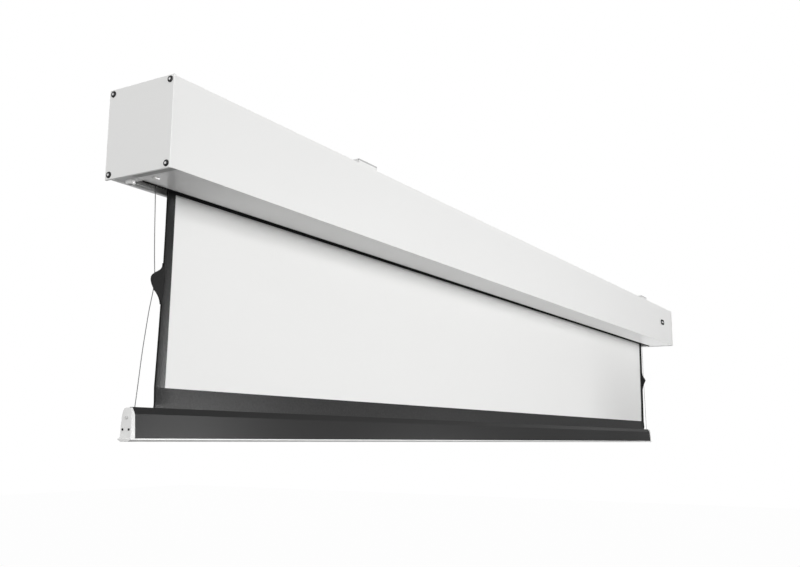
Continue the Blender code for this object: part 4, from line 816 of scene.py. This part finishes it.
class SCREEN_OT_infrared_window(bpy.types.Operator):
    """Make the infrared window in the front cover"""

    bl_idname = "screen.infrared_window"
    bl_label = "Infrared Window"

    CORNER = 0.0095
    PROUD = 0.0015
    BEZEL = 0.0062
    LENS_STEP = 0.0004
    RIM = 0.002
    NECK_CORNER = 0.003
    NECK_START = 0.0012

    def execute(self, context):
        low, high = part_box("infrared_window")
        bm = bmesh.new()
        face = self.plate(bm, low, high, low.y, low.y + self.PROUD, self.CORNER)
        bmesh.ops.inset_region(bm, faces=[face], thickness=self.BEZEL, depth=0.0)
        bmesh.ops.inset_region(bm, faces=[face], thickness=self.LENS_STEP, depth=-self.LENS_STEP)
        face.material_index = 1
        rim = Vector((self.RIM, 0, self.RIM))
        self.plate(bm, low + rim, high - rim, low.y + self.NECK_START, high.y, self.NECK_CORNER)
        black = window_bezel("black_bezel_abs")
        # The lens is pale grey: a painted highlight across the window.
        highlight_lens = moulded_plastic("painted_highlight_lens", "#C6C6C6", 0.2)
        new_mesh(bm, "infrared_window_detail", "case", "infrared_lens", black, highlight_lens, smooth=30,
                 cad=["infrared_window"])
        return {"FINISHED"}

    def plate(self, bm, low, high, front, back, corner):
        """A plate with round corners, facing -Y. Gives its front face."""
        made = add_upright(bm, low, high, front)
        ease(bm, made["verts"][0].link_faces[0].verts, corner, 6, affect="VERTICES")
        face = [f for f in bm.faces if all(e.is_boundary for e in f.edges)][-1]
        walls = bmesh.ops.extrude_face_region(bm, geom=[face])["geom"]
        bmesh.ops.translate(bm, verts=verts_of(walls), vec=(0, back - front, 0))
        bmesh.ops.recalc_face_normals(bm, faces=bm.faces)
        fronts = [f for f in bm.faces if f.normal.y < -0.99 and abs(f.calc_center_median().y - front) < 1e-6]
        return max(fronts, key=lambda f: f.calc_area())


# The cloth


def lean(z):
    """How far behind its plane the cloth hangs at a height: most at the picture's foot, none in the bar."""
    down = along(z, TANGENT_Z - LEAN_START, PICTURE_FOOT)
    return LEAN * down * down * along(z, BAR_TOP - LEAN_END, PICTURE_FOOT)


def edge_margin(z):
    """How far the border's outer edge lies from the case's end, at a height."""
    return EDGE_MARGIN - EDGE_FLARE * along(z, CASE_FLOOR - EDGE_FLARE_START, BAR_TOP) ** EDGE_FLARE_POWER


def hang(piece):
    """Bakes the cloth's placement into its mesh."""
    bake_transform(piece)


def cut_edges(piece):
    """Splits the cloth's shading at its cut edges, so that they don't darken the faces beside them."""
    edges = piece.modifiers.new("cut_edges", "EDGE_SPLIT")
    edges.split_angle = math.radians(55)


class SCREEN_OT_sheet(bpy.types.Operator):
    """Make the hanging projection surface"""

    bl_idname = "screen.sheet"
    bl_label = "Projection Surface"

    def execute(self, context):
        colours = context.scene.screen_colours
        white = projection_pvc("matt_white_pvc", colours.surface)
        back = grained_pvc("black_backing", "#161616", 0.003, level=0.2, roughness=0.7)
        bm = bmesh.new()
        add_upright(bm, SHEET_LOW, SHEET_HIGH, FABRIC_Y, 40, 60)
        for v in bm.verts:
            v.co.y += lean(v.co.z)
        sheet = new_mesh(bm, "projection_surface", None, None, white, back, smooth=60)
        wall = sheet.modifiers.new("coated_cloth", "SOLIDIFY")
        wall.thickness = SHEET_HIGH.y - SHEET_LOW.y
        wall.offset = 0.0
        wall.material_offset = 1
        cut_edges(sheet)
        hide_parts("projection_fabric")
        hang(sheet)
        return {"FINISHED"}


class SCREEN_OT_borders(bpy.types.Operator):
    """Make the black side strips, their tabs and the bands over and under the picture"""

    bl_idname = "screen.borders"
    bl_label = "Black Borders"

    STRIP_WIDTH = 0.0345
    PICTURE_EDGE = 0.0015
    # The lower band's cut width beyond the CAD's, and its cut height with the pocket for the hem rod
    BAND_EXTRA_WIDTH = 0.013
    BAND_CUT_HEIGHT = 0.056
    POCKET_GAP = 0.0006
    POCKET_OPENING = 0.25

    def execute(self, context):
        sizes = context.scene.screen_fabric
        colours = context.scene.screen_colours
        grained = grained_pvc("black_grained_pvc", colours.border, sizes.grain)
        hem = grained_pvc("black_hem_tape", "#0E0E0E", sizes.grain, level=0.05, roughness=0.7)
        # The tabs take a darker, less glossy black than the strips.
        tab_black = grained_pvc("darker_tab_pvc", "#131313", sizes.grain, level=0.03, roughness=0.6)
        for side, inward in SIDES:
            self.strip(side, inward, sizes, grained, hem)
            self.tab(side, inward, sizes, tab_black, hem)
        self.upper_band(grained, hem)
        self.lower_band(sizes, grained, hem)
        return {"FINISHED"}

    def rolled(self, radius):
        """The hem's bead as (distance from the outer edge, depth) points, from its inner side round."""
        return [(radius * (1 + math.cos(a)), BORDER_PLY - radius - radius * math.sin(a))
                for a in (math.radians(-35 + 25 * j) for j in range(11))]

    def weave(self, bm, columns, hems):
        """Joins rows of points with quads. The steps in hems take the hem's material."""
        for a, b in zip(columns, columns[1:]):
            for k in range(len(a) - 1):
                face = bm.faces.new((a[k], a[k + 1], b[k + 1], b[k]))
                face.material_index = 1 if k in hems else 0

    def cloth(self, bm, name, grained, hem, thickness, shown=0):
        """Cloth with its thickness and cut edges. The face numbered by shown looks to the front."""
        bmesh.ops.recalc_face_normals(bm, faces=bm.faces)
        bm.faces.ensure_lookup_table()
        if bm.faces[shown].normal.y > 0:
            bmesh.ops.reverse_faces(bm, faces=bm.faces)
        piece = new_mesh(bm, name, None, None, grained, hem, smooth=60)
        wall = piece.modifiers.new("cloth", "SOLIDIFY")
        wall.thickness = thickness
        wall.offset = -1.0
        cut_edges(piece)
        return piece

    def strip(self, side, inward, sizes, grained, hem):
        """Cloth from the picture's edge out to a hem that is rolled into a bead."""
        rows = 90
        radius = sizes.bead / 2
        bm = bmesh.new()
        columns = []
        for k in range(rows + 1):
            z = PICTURE_FOOT + (TANGENT_Z - PICTURE_FOOT) * k / rows
            outer = edge_margin(z)
            places = [(PICTURE_MARGIN, 0.0), (PICTURE_MARGIN - self.PICTURE_EDGE, 0.0),
                      (outer + 2.4 * radius, 0.0)]
            places += [(outer + m, s) for m, s in self.rolled(radius)]
            columns.append([bm.verts.new((from_end(inward, m), STRIP_LOW.y + lean(z) + s, z))
                            for m, s in places])
        self.weave(bm, columns, range(2, len(places)))
        piece = self.cloth(bm, f"{side}_border", grained, hem, BORDER_PLY)
        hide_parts(f"{side}_tab_strip")
        hang(piece)

    def tab(self, side, inward, sizes, tab_black, hem):
        """A tab is a tongue of cloth folded over the cord. It covers the bead and curls forward."""
        rows, across = 48, 16
        middle = CASE_FLOOR - TAB_FALL
        over_bead = sizes.bead + 0.0001
        # How far the tongue is tucked in over the strip, and how far inside the edge it is up on the
        # bead and starts to curl
        seam, tuck, climbed, curl_start = 0.0004, 0.0065, 0.0016, 0.0015
        # The cord inside shows as a ridge this wide, and the two plies close up over this distance
        ridge, ridge_out, ridge_gap, closing = 0.0019, 0.0004, 0.0014, 0.012
        bm = bmesh.new()
        columns = []
        for k in range(rows + 1):
            share = 2 * k / rows - 1
            z = middle + sizes.tab_height / 2 * share
            bulge = self.bulge(share)
            edge = edge_margin(z)
            first, last = -seam - tuck * bulge, sizes.tab_reach * bulge
            front, back = [], []
            for j in range(across + 1):
                u = first + (last - first) * j / across
                rise = along(u, -tuck - seam, -climbed)
                out = over_bead * rise * rise * (3 - 2 * rise)
                curl = max(0.0, (u + curl_start) / (sizes.tab_reach + curl_start))
                out += (sizes.tab_curl - over_bead) * curl ** 4
                cord = math.exp(-((edge - u - CORD_AT_TAB) / ridge) ** 2)
                spread = 1 - along(u, 0.0, closing)
                gap = 2.1 * BORDER_PLY + ridge_gap * cord + (out + BORDER_PLY) * spread * spread
                front.append((edge - u, -out - ridge_out * cord))
                back.append((edge - u, -out - ridge_out * cord + gap))
            columns.append([bm.verts.new((from_end(inward, m), STRIP_LOW.y + lean(z) + s, z))
                            for m, s in front + back[::-1]])
        self.weave(bm, columns, range(across - 1, across + 2))
        piece = self.cloth(bm, f"{side}_tab", tab_black, hem, BORDER_PLY * 0.95)
        # The fabric's share of the travel at the tab's own height is worked out, but nothing uses it.
        share = (TANGENT_Z - middle) / (TANGENT_Z - BAR_TOP)
        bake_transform(piece)

    def bulge(self, share):
        """How far out the tab reaches at a height from -1 to 1: a steep flank above, a long one below."""
        foot, peak, top, blunt = -0.98, 0.115, 0.91, 0.1
        if share > peak:
            return 0.5 * (1 + math.cos(math.pi * along(share, peak, top)))
        down = along(share, peak, foot)
        straight = 1 - (math.hypot(down, blunt) - blunt) / (math.hypot(1, blunt) - blunt)
        return 0.5 * straight + 0.25 * (1 + math.cos(math.pi * down))

    def upper_band(self, grained, hem):
        """The band over the picture. At rest it is still inside the case."""
        low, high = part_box("upper_band")
        left, right = CASE_LEFT + PICTURE_MARGIN, CASE_RIGHT - PICTURE_MARGIN
        bm = bmesh.new()
        add_upright(bm, (left, low.z), (right, high.z), low.y, 40, 12)
        for v in bm.verts:
            v.co.y += lean(v.co.z)
        piece = self.cloth(bm, "upper_border", grained, hem, high.y - low.y)
        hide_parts("upper_band")
        hang(piece)

    def lower_band(self, sizes, grained, hem):
        """The band under the picture, whose foot wraps the hem rod inside the weight bar."""
        front = STRIP_LOW.y
        rod = centre_of("hem_rod")
        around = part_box("hem_rod")[1].z - rod.z + self.POCKET_GAP
        profile = [(front, PICTURE_FOOT - (PICTURE_FOOT - BAR_TOP) * k / 14) for k in range(15)]
        first = math.pi - math.acos(min(1.0, (rod.y - front) / around))
        turn = math.tau - self.POCKET_OPENING
        profile += [(rod.y + around * math.cos(a), rod.z + around * math.sin(a))
                    for a in (first + turn * k / 24 for k in range(25))]
        radius = sizes.bead / 2
        columns_between = 60
        bm = bmesh.new()
        rows = []
        for y, z in profile:
            margin = edge_margin(max(z, BAR_TOP))
            # The bead is pressed flat where the cloth goes down into the bar.
            full = along(z, BAR_TOP + 0.003, BAR_TOP + 0.008)
            end = [(margin + m, full * s) for m, s in reversed(self.rolled(radius))]
            inner = margin + 2.4 * radius
            left, right = CASE_LEFT + inner, CASE_RIGHT - inner
            places = [(CASE_LEFT + m, s) for m, s in end]
            places += [(left + (right - left) * k / columns_between, 0.0) for k in range(columns_between + 1)]
            places += [(CASE_RIGHT - m, s) for m, s in reversed(end)]
            rows.append([bm.verts.new((x, y + lean(z) + s, z)) for x, s in places])
        flat = range(len(end), len(end) + columns_between)
        self.weave(bm, rows, set(range(len(places) - 1)) - set(flat))
        piece = self.cloth(bm, "lower_border", grained, hem, BORDER_PLY,
                           shown=len(end) + columns_between // 2)
        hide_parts("lower_band")
        hang(piece)


class SCREEN_OT_cords(bpy.types.Operator):
    """Make both tension cords"""

    bl_idname = "screen.cords"
    bl_label = "Tension Cords"

    # Distance from the case's end, height above the case's underside and distance behind the fabric's
    # plane, chosen from the photograph
    ROUTE = ((0.0740, 0.076, 0.0004), (0.0756, 0.040, 0.0004), (0.0772, 0.006, 0.0002),
             (0.0786, -0.030, -0.0002), (0.0799, -0.068, -0.0006), (0.0816, -0.107, -0.0012),
             (0.0828, -0.126, -0.0016), (0.0836, -0.140, -0.0018), (0.0835, -0.150, -0.0018),
             (0.0822, -0.163, -0.0018), (0.0800, -0.176, -0.0016), (0.0765, -0.196, -0.0011),
             (0.0722, -0.228, -0.0006), (0.0680, -0.262, -0.0001), (0.0645, -0.300, 0.0004),
             (0.0614, -0.332, 0.0006), (0.0594, -0.350, 0.0006), (0.0590, -0.360, 0.0006))

    def execute(self, context):
        sizes = context.scene.screen_hardware
        braid = braided_cord("grey_braid", sizes.cord_pitch)
        for side, inward in SIDES:
            low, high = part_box(f"{side}_tension_cord")
            points = [Vector((from_end(inward, m), FABRIC_Y + behind, CASE_FLOOR + z))
                      for m, z, behind in self.ROUTE]
            points[-1].z = low.z
            piece = self.tube(f"{side}_cord", self.smooth(points, 8), (high.y - low.y) / 2, braid)
            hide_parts(f"{side}_tension_cord")
            hang(piece)
        return {"FINISHED"}

    def smooth(self, points, per_span):
        """The points with more between them, on one smooth curve through them all."""
        ends = [points[0], *points, points[-1]]
        route = []
        for a, b, c, d in zip(ends, ends[1:], ends[2:], ends[3:]):
            length = (c - b).length
            leave, arrive = (c - a).normalized() * length, (d - b).normalized() * length
            for k in range(per_span):
                t = k / per_span
                route.append(b + (c - b) * t * t * (3 - 2 * t) + leave * t * (1 - t) ** 2
                             - arrive * t * t * (1 - t))
        return route + [points[-1]]

    def tube(self, name, route, radius, braid):
        """A tube along the route, with a UV map of turns round it and metres along it."""
        sides = 12
        bm = bmesh.new()
        uv = bm.loops.layers.uv.new("round_and_along")
        rings, run = [], [0.0]
        for a, b in zip(route, route[1:]):
            run.append(run[-1] + (b - a).length)
        for k, point in enumerate(route):
            ahead = (route[min(k + 1, len(route) - 1)] - route[max(k - 1, 0)]).normalized()
            across = Vector((0, 1, 0))
            third = ahead.cross(across).normalized()
            rings.append([bm.verts.new(point + radius * (math.cos(math.tau * j / sides) * across
                                                         + math.sin(math.tau * j / sides) * third))
                          for j in range(sides)])
        for k, (a, b) in enumerate(zip(rings, rings[1:])):
            for j in range(sides):
                n = (j + 1) % sides
                face = bm.faces.new((a[j], a[n], b[n], b[j]))
                for loop, (u, v) in zip(face.loops, ((j, k), (j + 1, k), (j + 1, k + 1), (j, k + 1))):
                    loop[uv].uv = (u / sides, run[v])
        bm.faces.new(rings[0][::-1])
        bm.faces.new(rings[-1])
        bmesh.ops.recalc_face_normals(bm, faces=bm.faces)
        return new_mesh(bm, name, None, None, braid, smooth=60)


class SCREEN_OT_weight_bar(bpy.types.Operator):
    """Coat the weight bar's shell and base rail and the rods inside it"""

    bl_idname = "screen.weight_bar"
    bl_label = "Weight Bar"

    def execute(self, context):
        colours = context.scene.screen_colours
        coat("bar_shell", powder_coat("dark_grey_powder_coat", colours.bar_coat, 0.26, 0.018))
        coat("bar_base_rail", powder_coat("white_rail_coat", colours.coat, 0.4, 0.08))
        drawn = metal("drawn_steel", "#9A9A9C", 0.35, 0.0015, (0.02, 1.0, 1.0))
        for node in ("hem_rod", "ballast_rod"):
            coat(node, drawn)
        return {"FINISHED"}


class SCREEN_OT_bar_caps(bpy.types.Operator):
    """Make the weight bar's end caps, their screws and the cord tensioners"""

    bl_idname = "screen.bar_caps"
    bl_label = "Bar Caps"

    # Heights over the foot, the cap's half-widths at its outer face, and how far that face stands out
    FACE = ((0.0046, 0.0132, 0.0108), (0.0056, 0.0122, 0.0098), (0.0078, 0.0116, 0.0091),
            (0.0120, 0.0116, 0.0087), (0.0180, 0.0118, 0.0084), (0.0240, 0.0117, 0.0082),
            (0.0300, 0.0114, 0.0080), (0.0350, 0.0111, 0.0079), (0.0400, 0.0107, 0.0077),
            (0.0440, 0.0101, 0.0074), (0.0470, 0.0094, 0.0071), (0.0490, 0.0085, 0.0068),
            (0.0502, 0.0074, 0.0066), (0.0509, 0.0058, 0.0065), (0.0511, 0.0036, 0.0064))
    THICKNESS = 0.0084
    FLANGE_EDGE = 0.0009
    RECESS_DEPTH = 0.0016
    SCREW_RECESS = 0.0021
    TENSIONER_RECESS = 0.0029
    # The tensioner's barrel inside the cap, its stem and its button
    BARREL_LENGTH = 0.010
    STEM_RADIUS = 0.0015
    BUTTON_RADIUS = 0.0026
    BUTTON_HEIGHT = 0.00075

    def execute(self, context):
        sizes = context.scene.screen_hardware
        white = moulded_plastic("white_cap_abs", "#ECECEB", 0.42, 0.06)
        grey = moulded_plastic("pale_tensioner_abs", "#CFCFCE", 0.4)
        dark = black_oxide("black_cap_screw")
        for side, inward in SIDES:
            self.cap(side, inward, sizes.cap_edge, white)
            for place in ("front", "rear"):
                self.screw(f"{side}_cap_screw_{place}", inward, dark)
            self.tensioner(f"{side}_cord_tensioner", inward, grey)
        return {"FINISHED"}

    def cap(self, side, inward, edge, white):
        """The cap's face leans inward and its back is shaped like the shell that it closes."""
        low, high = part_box(f"{side}_bar_cap")
        seam = high.x if inward > 0 else low.x
        outer = [(half, height, reach) for height, half, reach in self.FACE]
        outer += [(-half, height, reach) for half, height, reach in reversed(outer)]
        back = [(self.shell_half(height, half), height) for half, height, _ in outer]
        bm = bmesh.new()
        face = bm.faces.new([bm.verts.new((seam - inward * reach, FABRIC_Y + y, low.z + z))
                             for y, z, reach in outer])
        fresh = verts_of(bmesh.ops.extrude_face_region(bm, geom=[face])["geom"])
        fresh.sort(key=lambda v: (v.co.y > FABRIC_Y, v.co.z))
        for v, (y, z) in zip(fresh, sorted(back, key=lambda p: (p[0] > 0, p[1]))):
            v.co = (seam, FABRIC_Y + y, low.z + z)
        bmesh.ops.recalc_face_normals(bm, faces=bm.faces)
        ease(bm, face.edges, edge, 4)
        self.flange(bm, low, high, seam, inward)
        cap = new_mesh(bm, f"{side}_bar_cap_detail", "weight_bar", "white_plastic", white, smooth=35,
                       cad=[f"{side}_bar_cap"])
        self.holes(cap, side, seam - inward * self.THICKNESS)

    def shell_half(self, height, half):
        """The bar shell's half-width at a height, or the given one if it is smaller, on the same side."""
        rail = RAIL_HEIGHT + SEAT_GAP
        if height > BAR_SHOULDER_HEIGHT:
            share = (height - BAR_SHOULDER_HEIGHT) / (BAR_HEIGHT - BAR_SHOULDER_HEIGHT)
            wide = BAR_SHOULDER_HALF - (BAR_SHOULDER_HALF - BAR_RIDGE_HALF) * share
        else:
            share = (height - rail) / (BAR_SHOULDER_HEIGHT - rail)
            wide = BAR_FOOT_HALF - (BAR_FOOT_HALF - BAR_SHOULDER_HALF) * share
        return math.copysign(min(abs(half), wide), half)

    def flange(self, bm, low, high, seam, inward):
        """The cap's foot, which carries the base rail's section on past the shell's end."""
        half = (high.y - low.y) / 2
        flat = half - RAIL_CHAMFER_WIDTH
        section = [(-flat, 0.0), (flat, 0.0), (half, RAIL_CHAMFER), (half, RAIL_HEIGHT),
                   (-half, RAIL_HEIGHT), (-half, RAIL_CHAMFER)]
        start = bm.faces.new([bm.verts.new((seam, FABRIC_Y + y, low.z + z)) for y, z in section])
        fresh = verts_of(bmesh.ops.extrude_face_region(bm, geom=[start])["geom"])
        bmesh.ops.translate(bm, verts=fresh, vec=(-inward * (high.x - low.x), 0, 0))
        bmesh.ops.recalc_face_normals(bm, faces=bm.faces)
        ease(bm, [e for e in bm.edges if all(v in fresh for v in e.verts)], self.FLANGE_EDGE, 3)

    def holes(self, cap, side, outer):
        """Sinks the screws' recesses and the tensioner's hole, with cutters that are then removed."""
        places = [(centre_of(f"{side}_cap_screw_{place}"), self.SCREW_RECESS) for place in ("front", "rear")]
        places.append((centre_of(f"{side}_cord_tensioner"), self.TENSIONER_RECESS))
        for centre, radius in places:
            bm = bmesh.new()
            bmesh.ops.create_cone(bm, cap_ends=True, segments=32, radius1=radius, radius2=radius,
                                  depth=self.RECESS_DEPTH,
                                  matrix=toward((1, 0, 0), (outer, centre.y, centre.z)))
            cutter = new_mesh(bm, "cap_cutter", None, None, smooth=0)
            cut = cap.modifiers.new("recess", "BOOLEAN")
            cut.operation = "DIFFERENCE"
            cut.solver = "EXACT"
            cut.object = cutter
            bpy.context.view_layer.objects.active = cap
            bpy.context.view_layer.update()
            finished = cap.evaluated_get(bpy.context.evaluated_depsgraph_get())
            baked = bpy.data.meshes.new_from_object(finished)
            cap.modifiers.remove(cut)
            cap.data = baked
            bpy.data.objects.remove(cutter, do_unlink=True)
        cap.data.shade_smooth()
        cap.data.set_sharp_from_angle(angle=math.radians(35))

    def screw(self, node, inward, dark):
        """A pan head with a small recess, down in the cap."""
        length, head, foot = lying(node, inward)
        shank = head * 0.53
        seat = length - head * 0.6
        profile = [(0.0, 0.0), (shank * 0.8, 0.0), (shank, 0.0003), (shank, seat - 0.0006),
                   (head, seat - 0.0006), (head, seat + 0.0001)]
        profile += domed(head, seat, (length - seat) * 0.8)
        profile += [(head * 0.42, length - 0.0002), (head * 0.38, length - 0.0010), (0.0, length - 0.0011)]
        stand_in(turned(profile, 28), node, "weight_bar", "dark_screw", (-inward, 0, 0), foot, dark)

    def tensioner(self, node, inward, grey):
        """A barrel inside the cap, with a stem out to a button on the cap's face."""
        length, barrel, foot = lying(node, inward)
        stem, button, end = self.STEM_RADIUS, self.BUTTON_RADIUS, self.BARREL_LENGTH
        seat = length - self.BUTTON_HEIGHT
        profile = [(0.0, 0.0), (barrel * 0.9, 0.0), (barrel, 0.0004), (barrel, end - 0.0004),
                   (barrel * 0.9, end), (stem, end), (stem, seat - 0.0006), (button, seat - 0.0006),
                   (button, seat), (button - 0.0002, seat + 0.0004), (button - 0.0007, length), (0.0, length)]
        stand_in(turned(profile, 32), node, "weight_bar", "white_plastic", (-inward, 0, 0), foot, grey)


class SCREEN_OT_clamps(bpy.types.Operator):
    """Finish the clamp brackets and make their screws"""

    bl_idname = "screen.clamps"
    bl_label = "Clamp Brackets"

    # The stretch of a bracket's front edge painted grey as shade, down from its top and back from its front
    SHADE_EDGE_HEIGHT = 0.0032
    SHADE_EDGE_DEPTH = 0.003
    SHANK_RADIUS = 0.0014
    SOCKET_RADIUS = 0.0013
    HEAD_HEIGHT = 0.003

    def execute(self, context):
        pale = powder_coat("pale_bracket_coat", "#E4E4E3", 0.45)
        zinc = metal("zinc_plated_screw", "#C4C5C6", 0.35, 0.002, (1.0, 1.0, 1.0))
        low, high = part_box("left_clamp_bracket")
        # The bracket's top front edge is painted grey: a painted shade on that edge.
        painted_shade_edge(pale, high.z - self.SHADE_EDGE_HEIGHT, low.y + self.SHADE_EDGE_DEPTH, "#AFAFAF")
        for side, _ in SIDES:
            coat(f"{side}_clamp_bracket", pale)
            coat(f"{side}_clamp_jaw", pale)
            self.screw(side, zinc)
        return {"FINISHED"}

    def screw(self, side, zinc):
        """The screw lies along Y, with its head to the rear."""
        node = f"{side}_clamp_screw"
        low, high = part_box(node)
        middle = (low + high) / 2
        length = high.y - low.y
        head = (high.z - low.z) / 2
        shank, socket = self.SHANK_RADIUS, self.SOCKET_RADIUS
        seat = length - self.HEAD_HEIGHT
        rim = seat + self.HEAD_HEIGHT * 0.6
        profile = [(0.0, 0.0), (shank - 0.0002, 0.0), (shank, 0.0003), (shank, seat), (head, seat)]
        profile += [(head, rim), *domed(head, rim, length - rim)]
        profile += [(socket, length), (socket, length - 0.0014), (0.0, length - 0.0016)]
        stand_in(turned(profile, 32), node, f"{side}_clamp", "zinc_plate", (0, 1, 0),
                 (middle.x, low.y, middle.z), zinc)


class SCREEN_OT_roller(bpy.types.Operator):
    """Finish the roller, the motor, the bearings and the wound fabric and cords"""

    bl_idname = "screen.roller"
    bl_label = "Roller and Motor"

    def execute(self, context):
        tube = metal("extruded_aluminium", "#C9CACC", 0.32, 0.001, (0.01, 1.0, 1.0))
        steel = metal("zinc_plated_steel", "#B4B5B6", 0.38, 0.004, (1.0, 1.0, 1.0))
        bright = metal("turned_steel", "#A9A9AB", 0.28, 0.0008, (1.0, 0.1, 0.1))
        nylon = moulded_plastic("grey_nylon", "#8C8D8F", 0.5)
        lead = moulded_plastic("black_lead_sheath", "#171717", 0.5)
        backing = grained_pvc("black_wound_backing", "#161616", 0.003, level=0.2, roughness=0.7)
        cord = moulded_plastic("wound_grey_cord", "#5A5A5A", 0.7)
        for finish, nodes in (
                (tube, ("roller_tube",)),
                (steel, ("tubular_motor", "motor_bracket", "idler_bracket")),
                (bright, ("motor_output_shaft", "idler_pin", "idler_bearing")),
                (nylon, ("crown_ring", "drive_wheel", "idler_plug", "motor_head", "receiver_module")),
                (lead, ("receiver_lead",)),
                (backing, ("wound_fabric",)),
                (cord, ("left_cord_winding", "right_cord_winding"))):
            for node in nodes:
                coat(node, finish)
        return {"FINISHED"}


# Panel and registration


class SCREEN_PT_parts(bpy.types.Panel):
    """Lists the operators, with the sizes and colours that they read"""

    bl_label = "Projector Screen"
    bl_idname = "SCREEN_PT_parts"
    bl_space_type = "VIEW_3D"
    bl_region_type = "UI"
    bl_category = "Screen"

    def draw(self, context):
        scene = context.scene
        for group in (scene.screen_hardware, scene.screen_fabric, scene.screen_colours, scene.screen_studio):
            box = self.layout.box()
            for name in group.__annotations__:
                box.prop(group, name)
        for one in OPERATORS:
            self.layout.operator(one.bl_idname)


GROUPS = (("screen_hardware", ScreenHardwareSizes), ("screen_fabric", ScreenFabricSizes),
          ("screen_colours", ScreenColours), ("screen_studio", ScreenStudio))
OPERATORS = (SCREEN_OT_stage, SCREEN_OT_case, SCREEN_OT_plate_screws, SCREEN_OT_slot_brush,
             SCREEN_OT_slot_fittings, SCREEN_OT_infrared_window, SCREEN_OT_sheet, SCREEN_OT_borders,
             SCREEN_OT_cords, SCREEN_OT_weight_bar, SCREEN_OT_bar_caps, SCREEN_OT_clamps,
             SCREEN_OT_roller)


def register():
    for name, group in GROUPS:
        bpy.utils.register_class(group)
        setattr(bpy.types.Scene, name, bpy.props.PointerProperty(type=group))
    for one in OPERATORS:
        bpy.utils.register_class(one)
    bpy.utils.register_class(SCREEN_PT_parts)


def unregister():
    bpy.utils.unregister_class(SCREEN_PT_parts)
    for one in reversed(OPERATORS):
        bpy.utils.unregister_class(one)
    for name, group in reversed(GROUPS):
        delattr(bpy.types.Scene, name)
        bpy.utils.unregister_class(group)


def main():
    register()
    bpy.context.scene.view_settings.view_transform = "Standard"
    for one in OPERATORS:
        area, name = one.bl_idname.split(".")
        getattr(getattr(bpy.ops, area), name)()


if __name__ == "__main__":
    main()
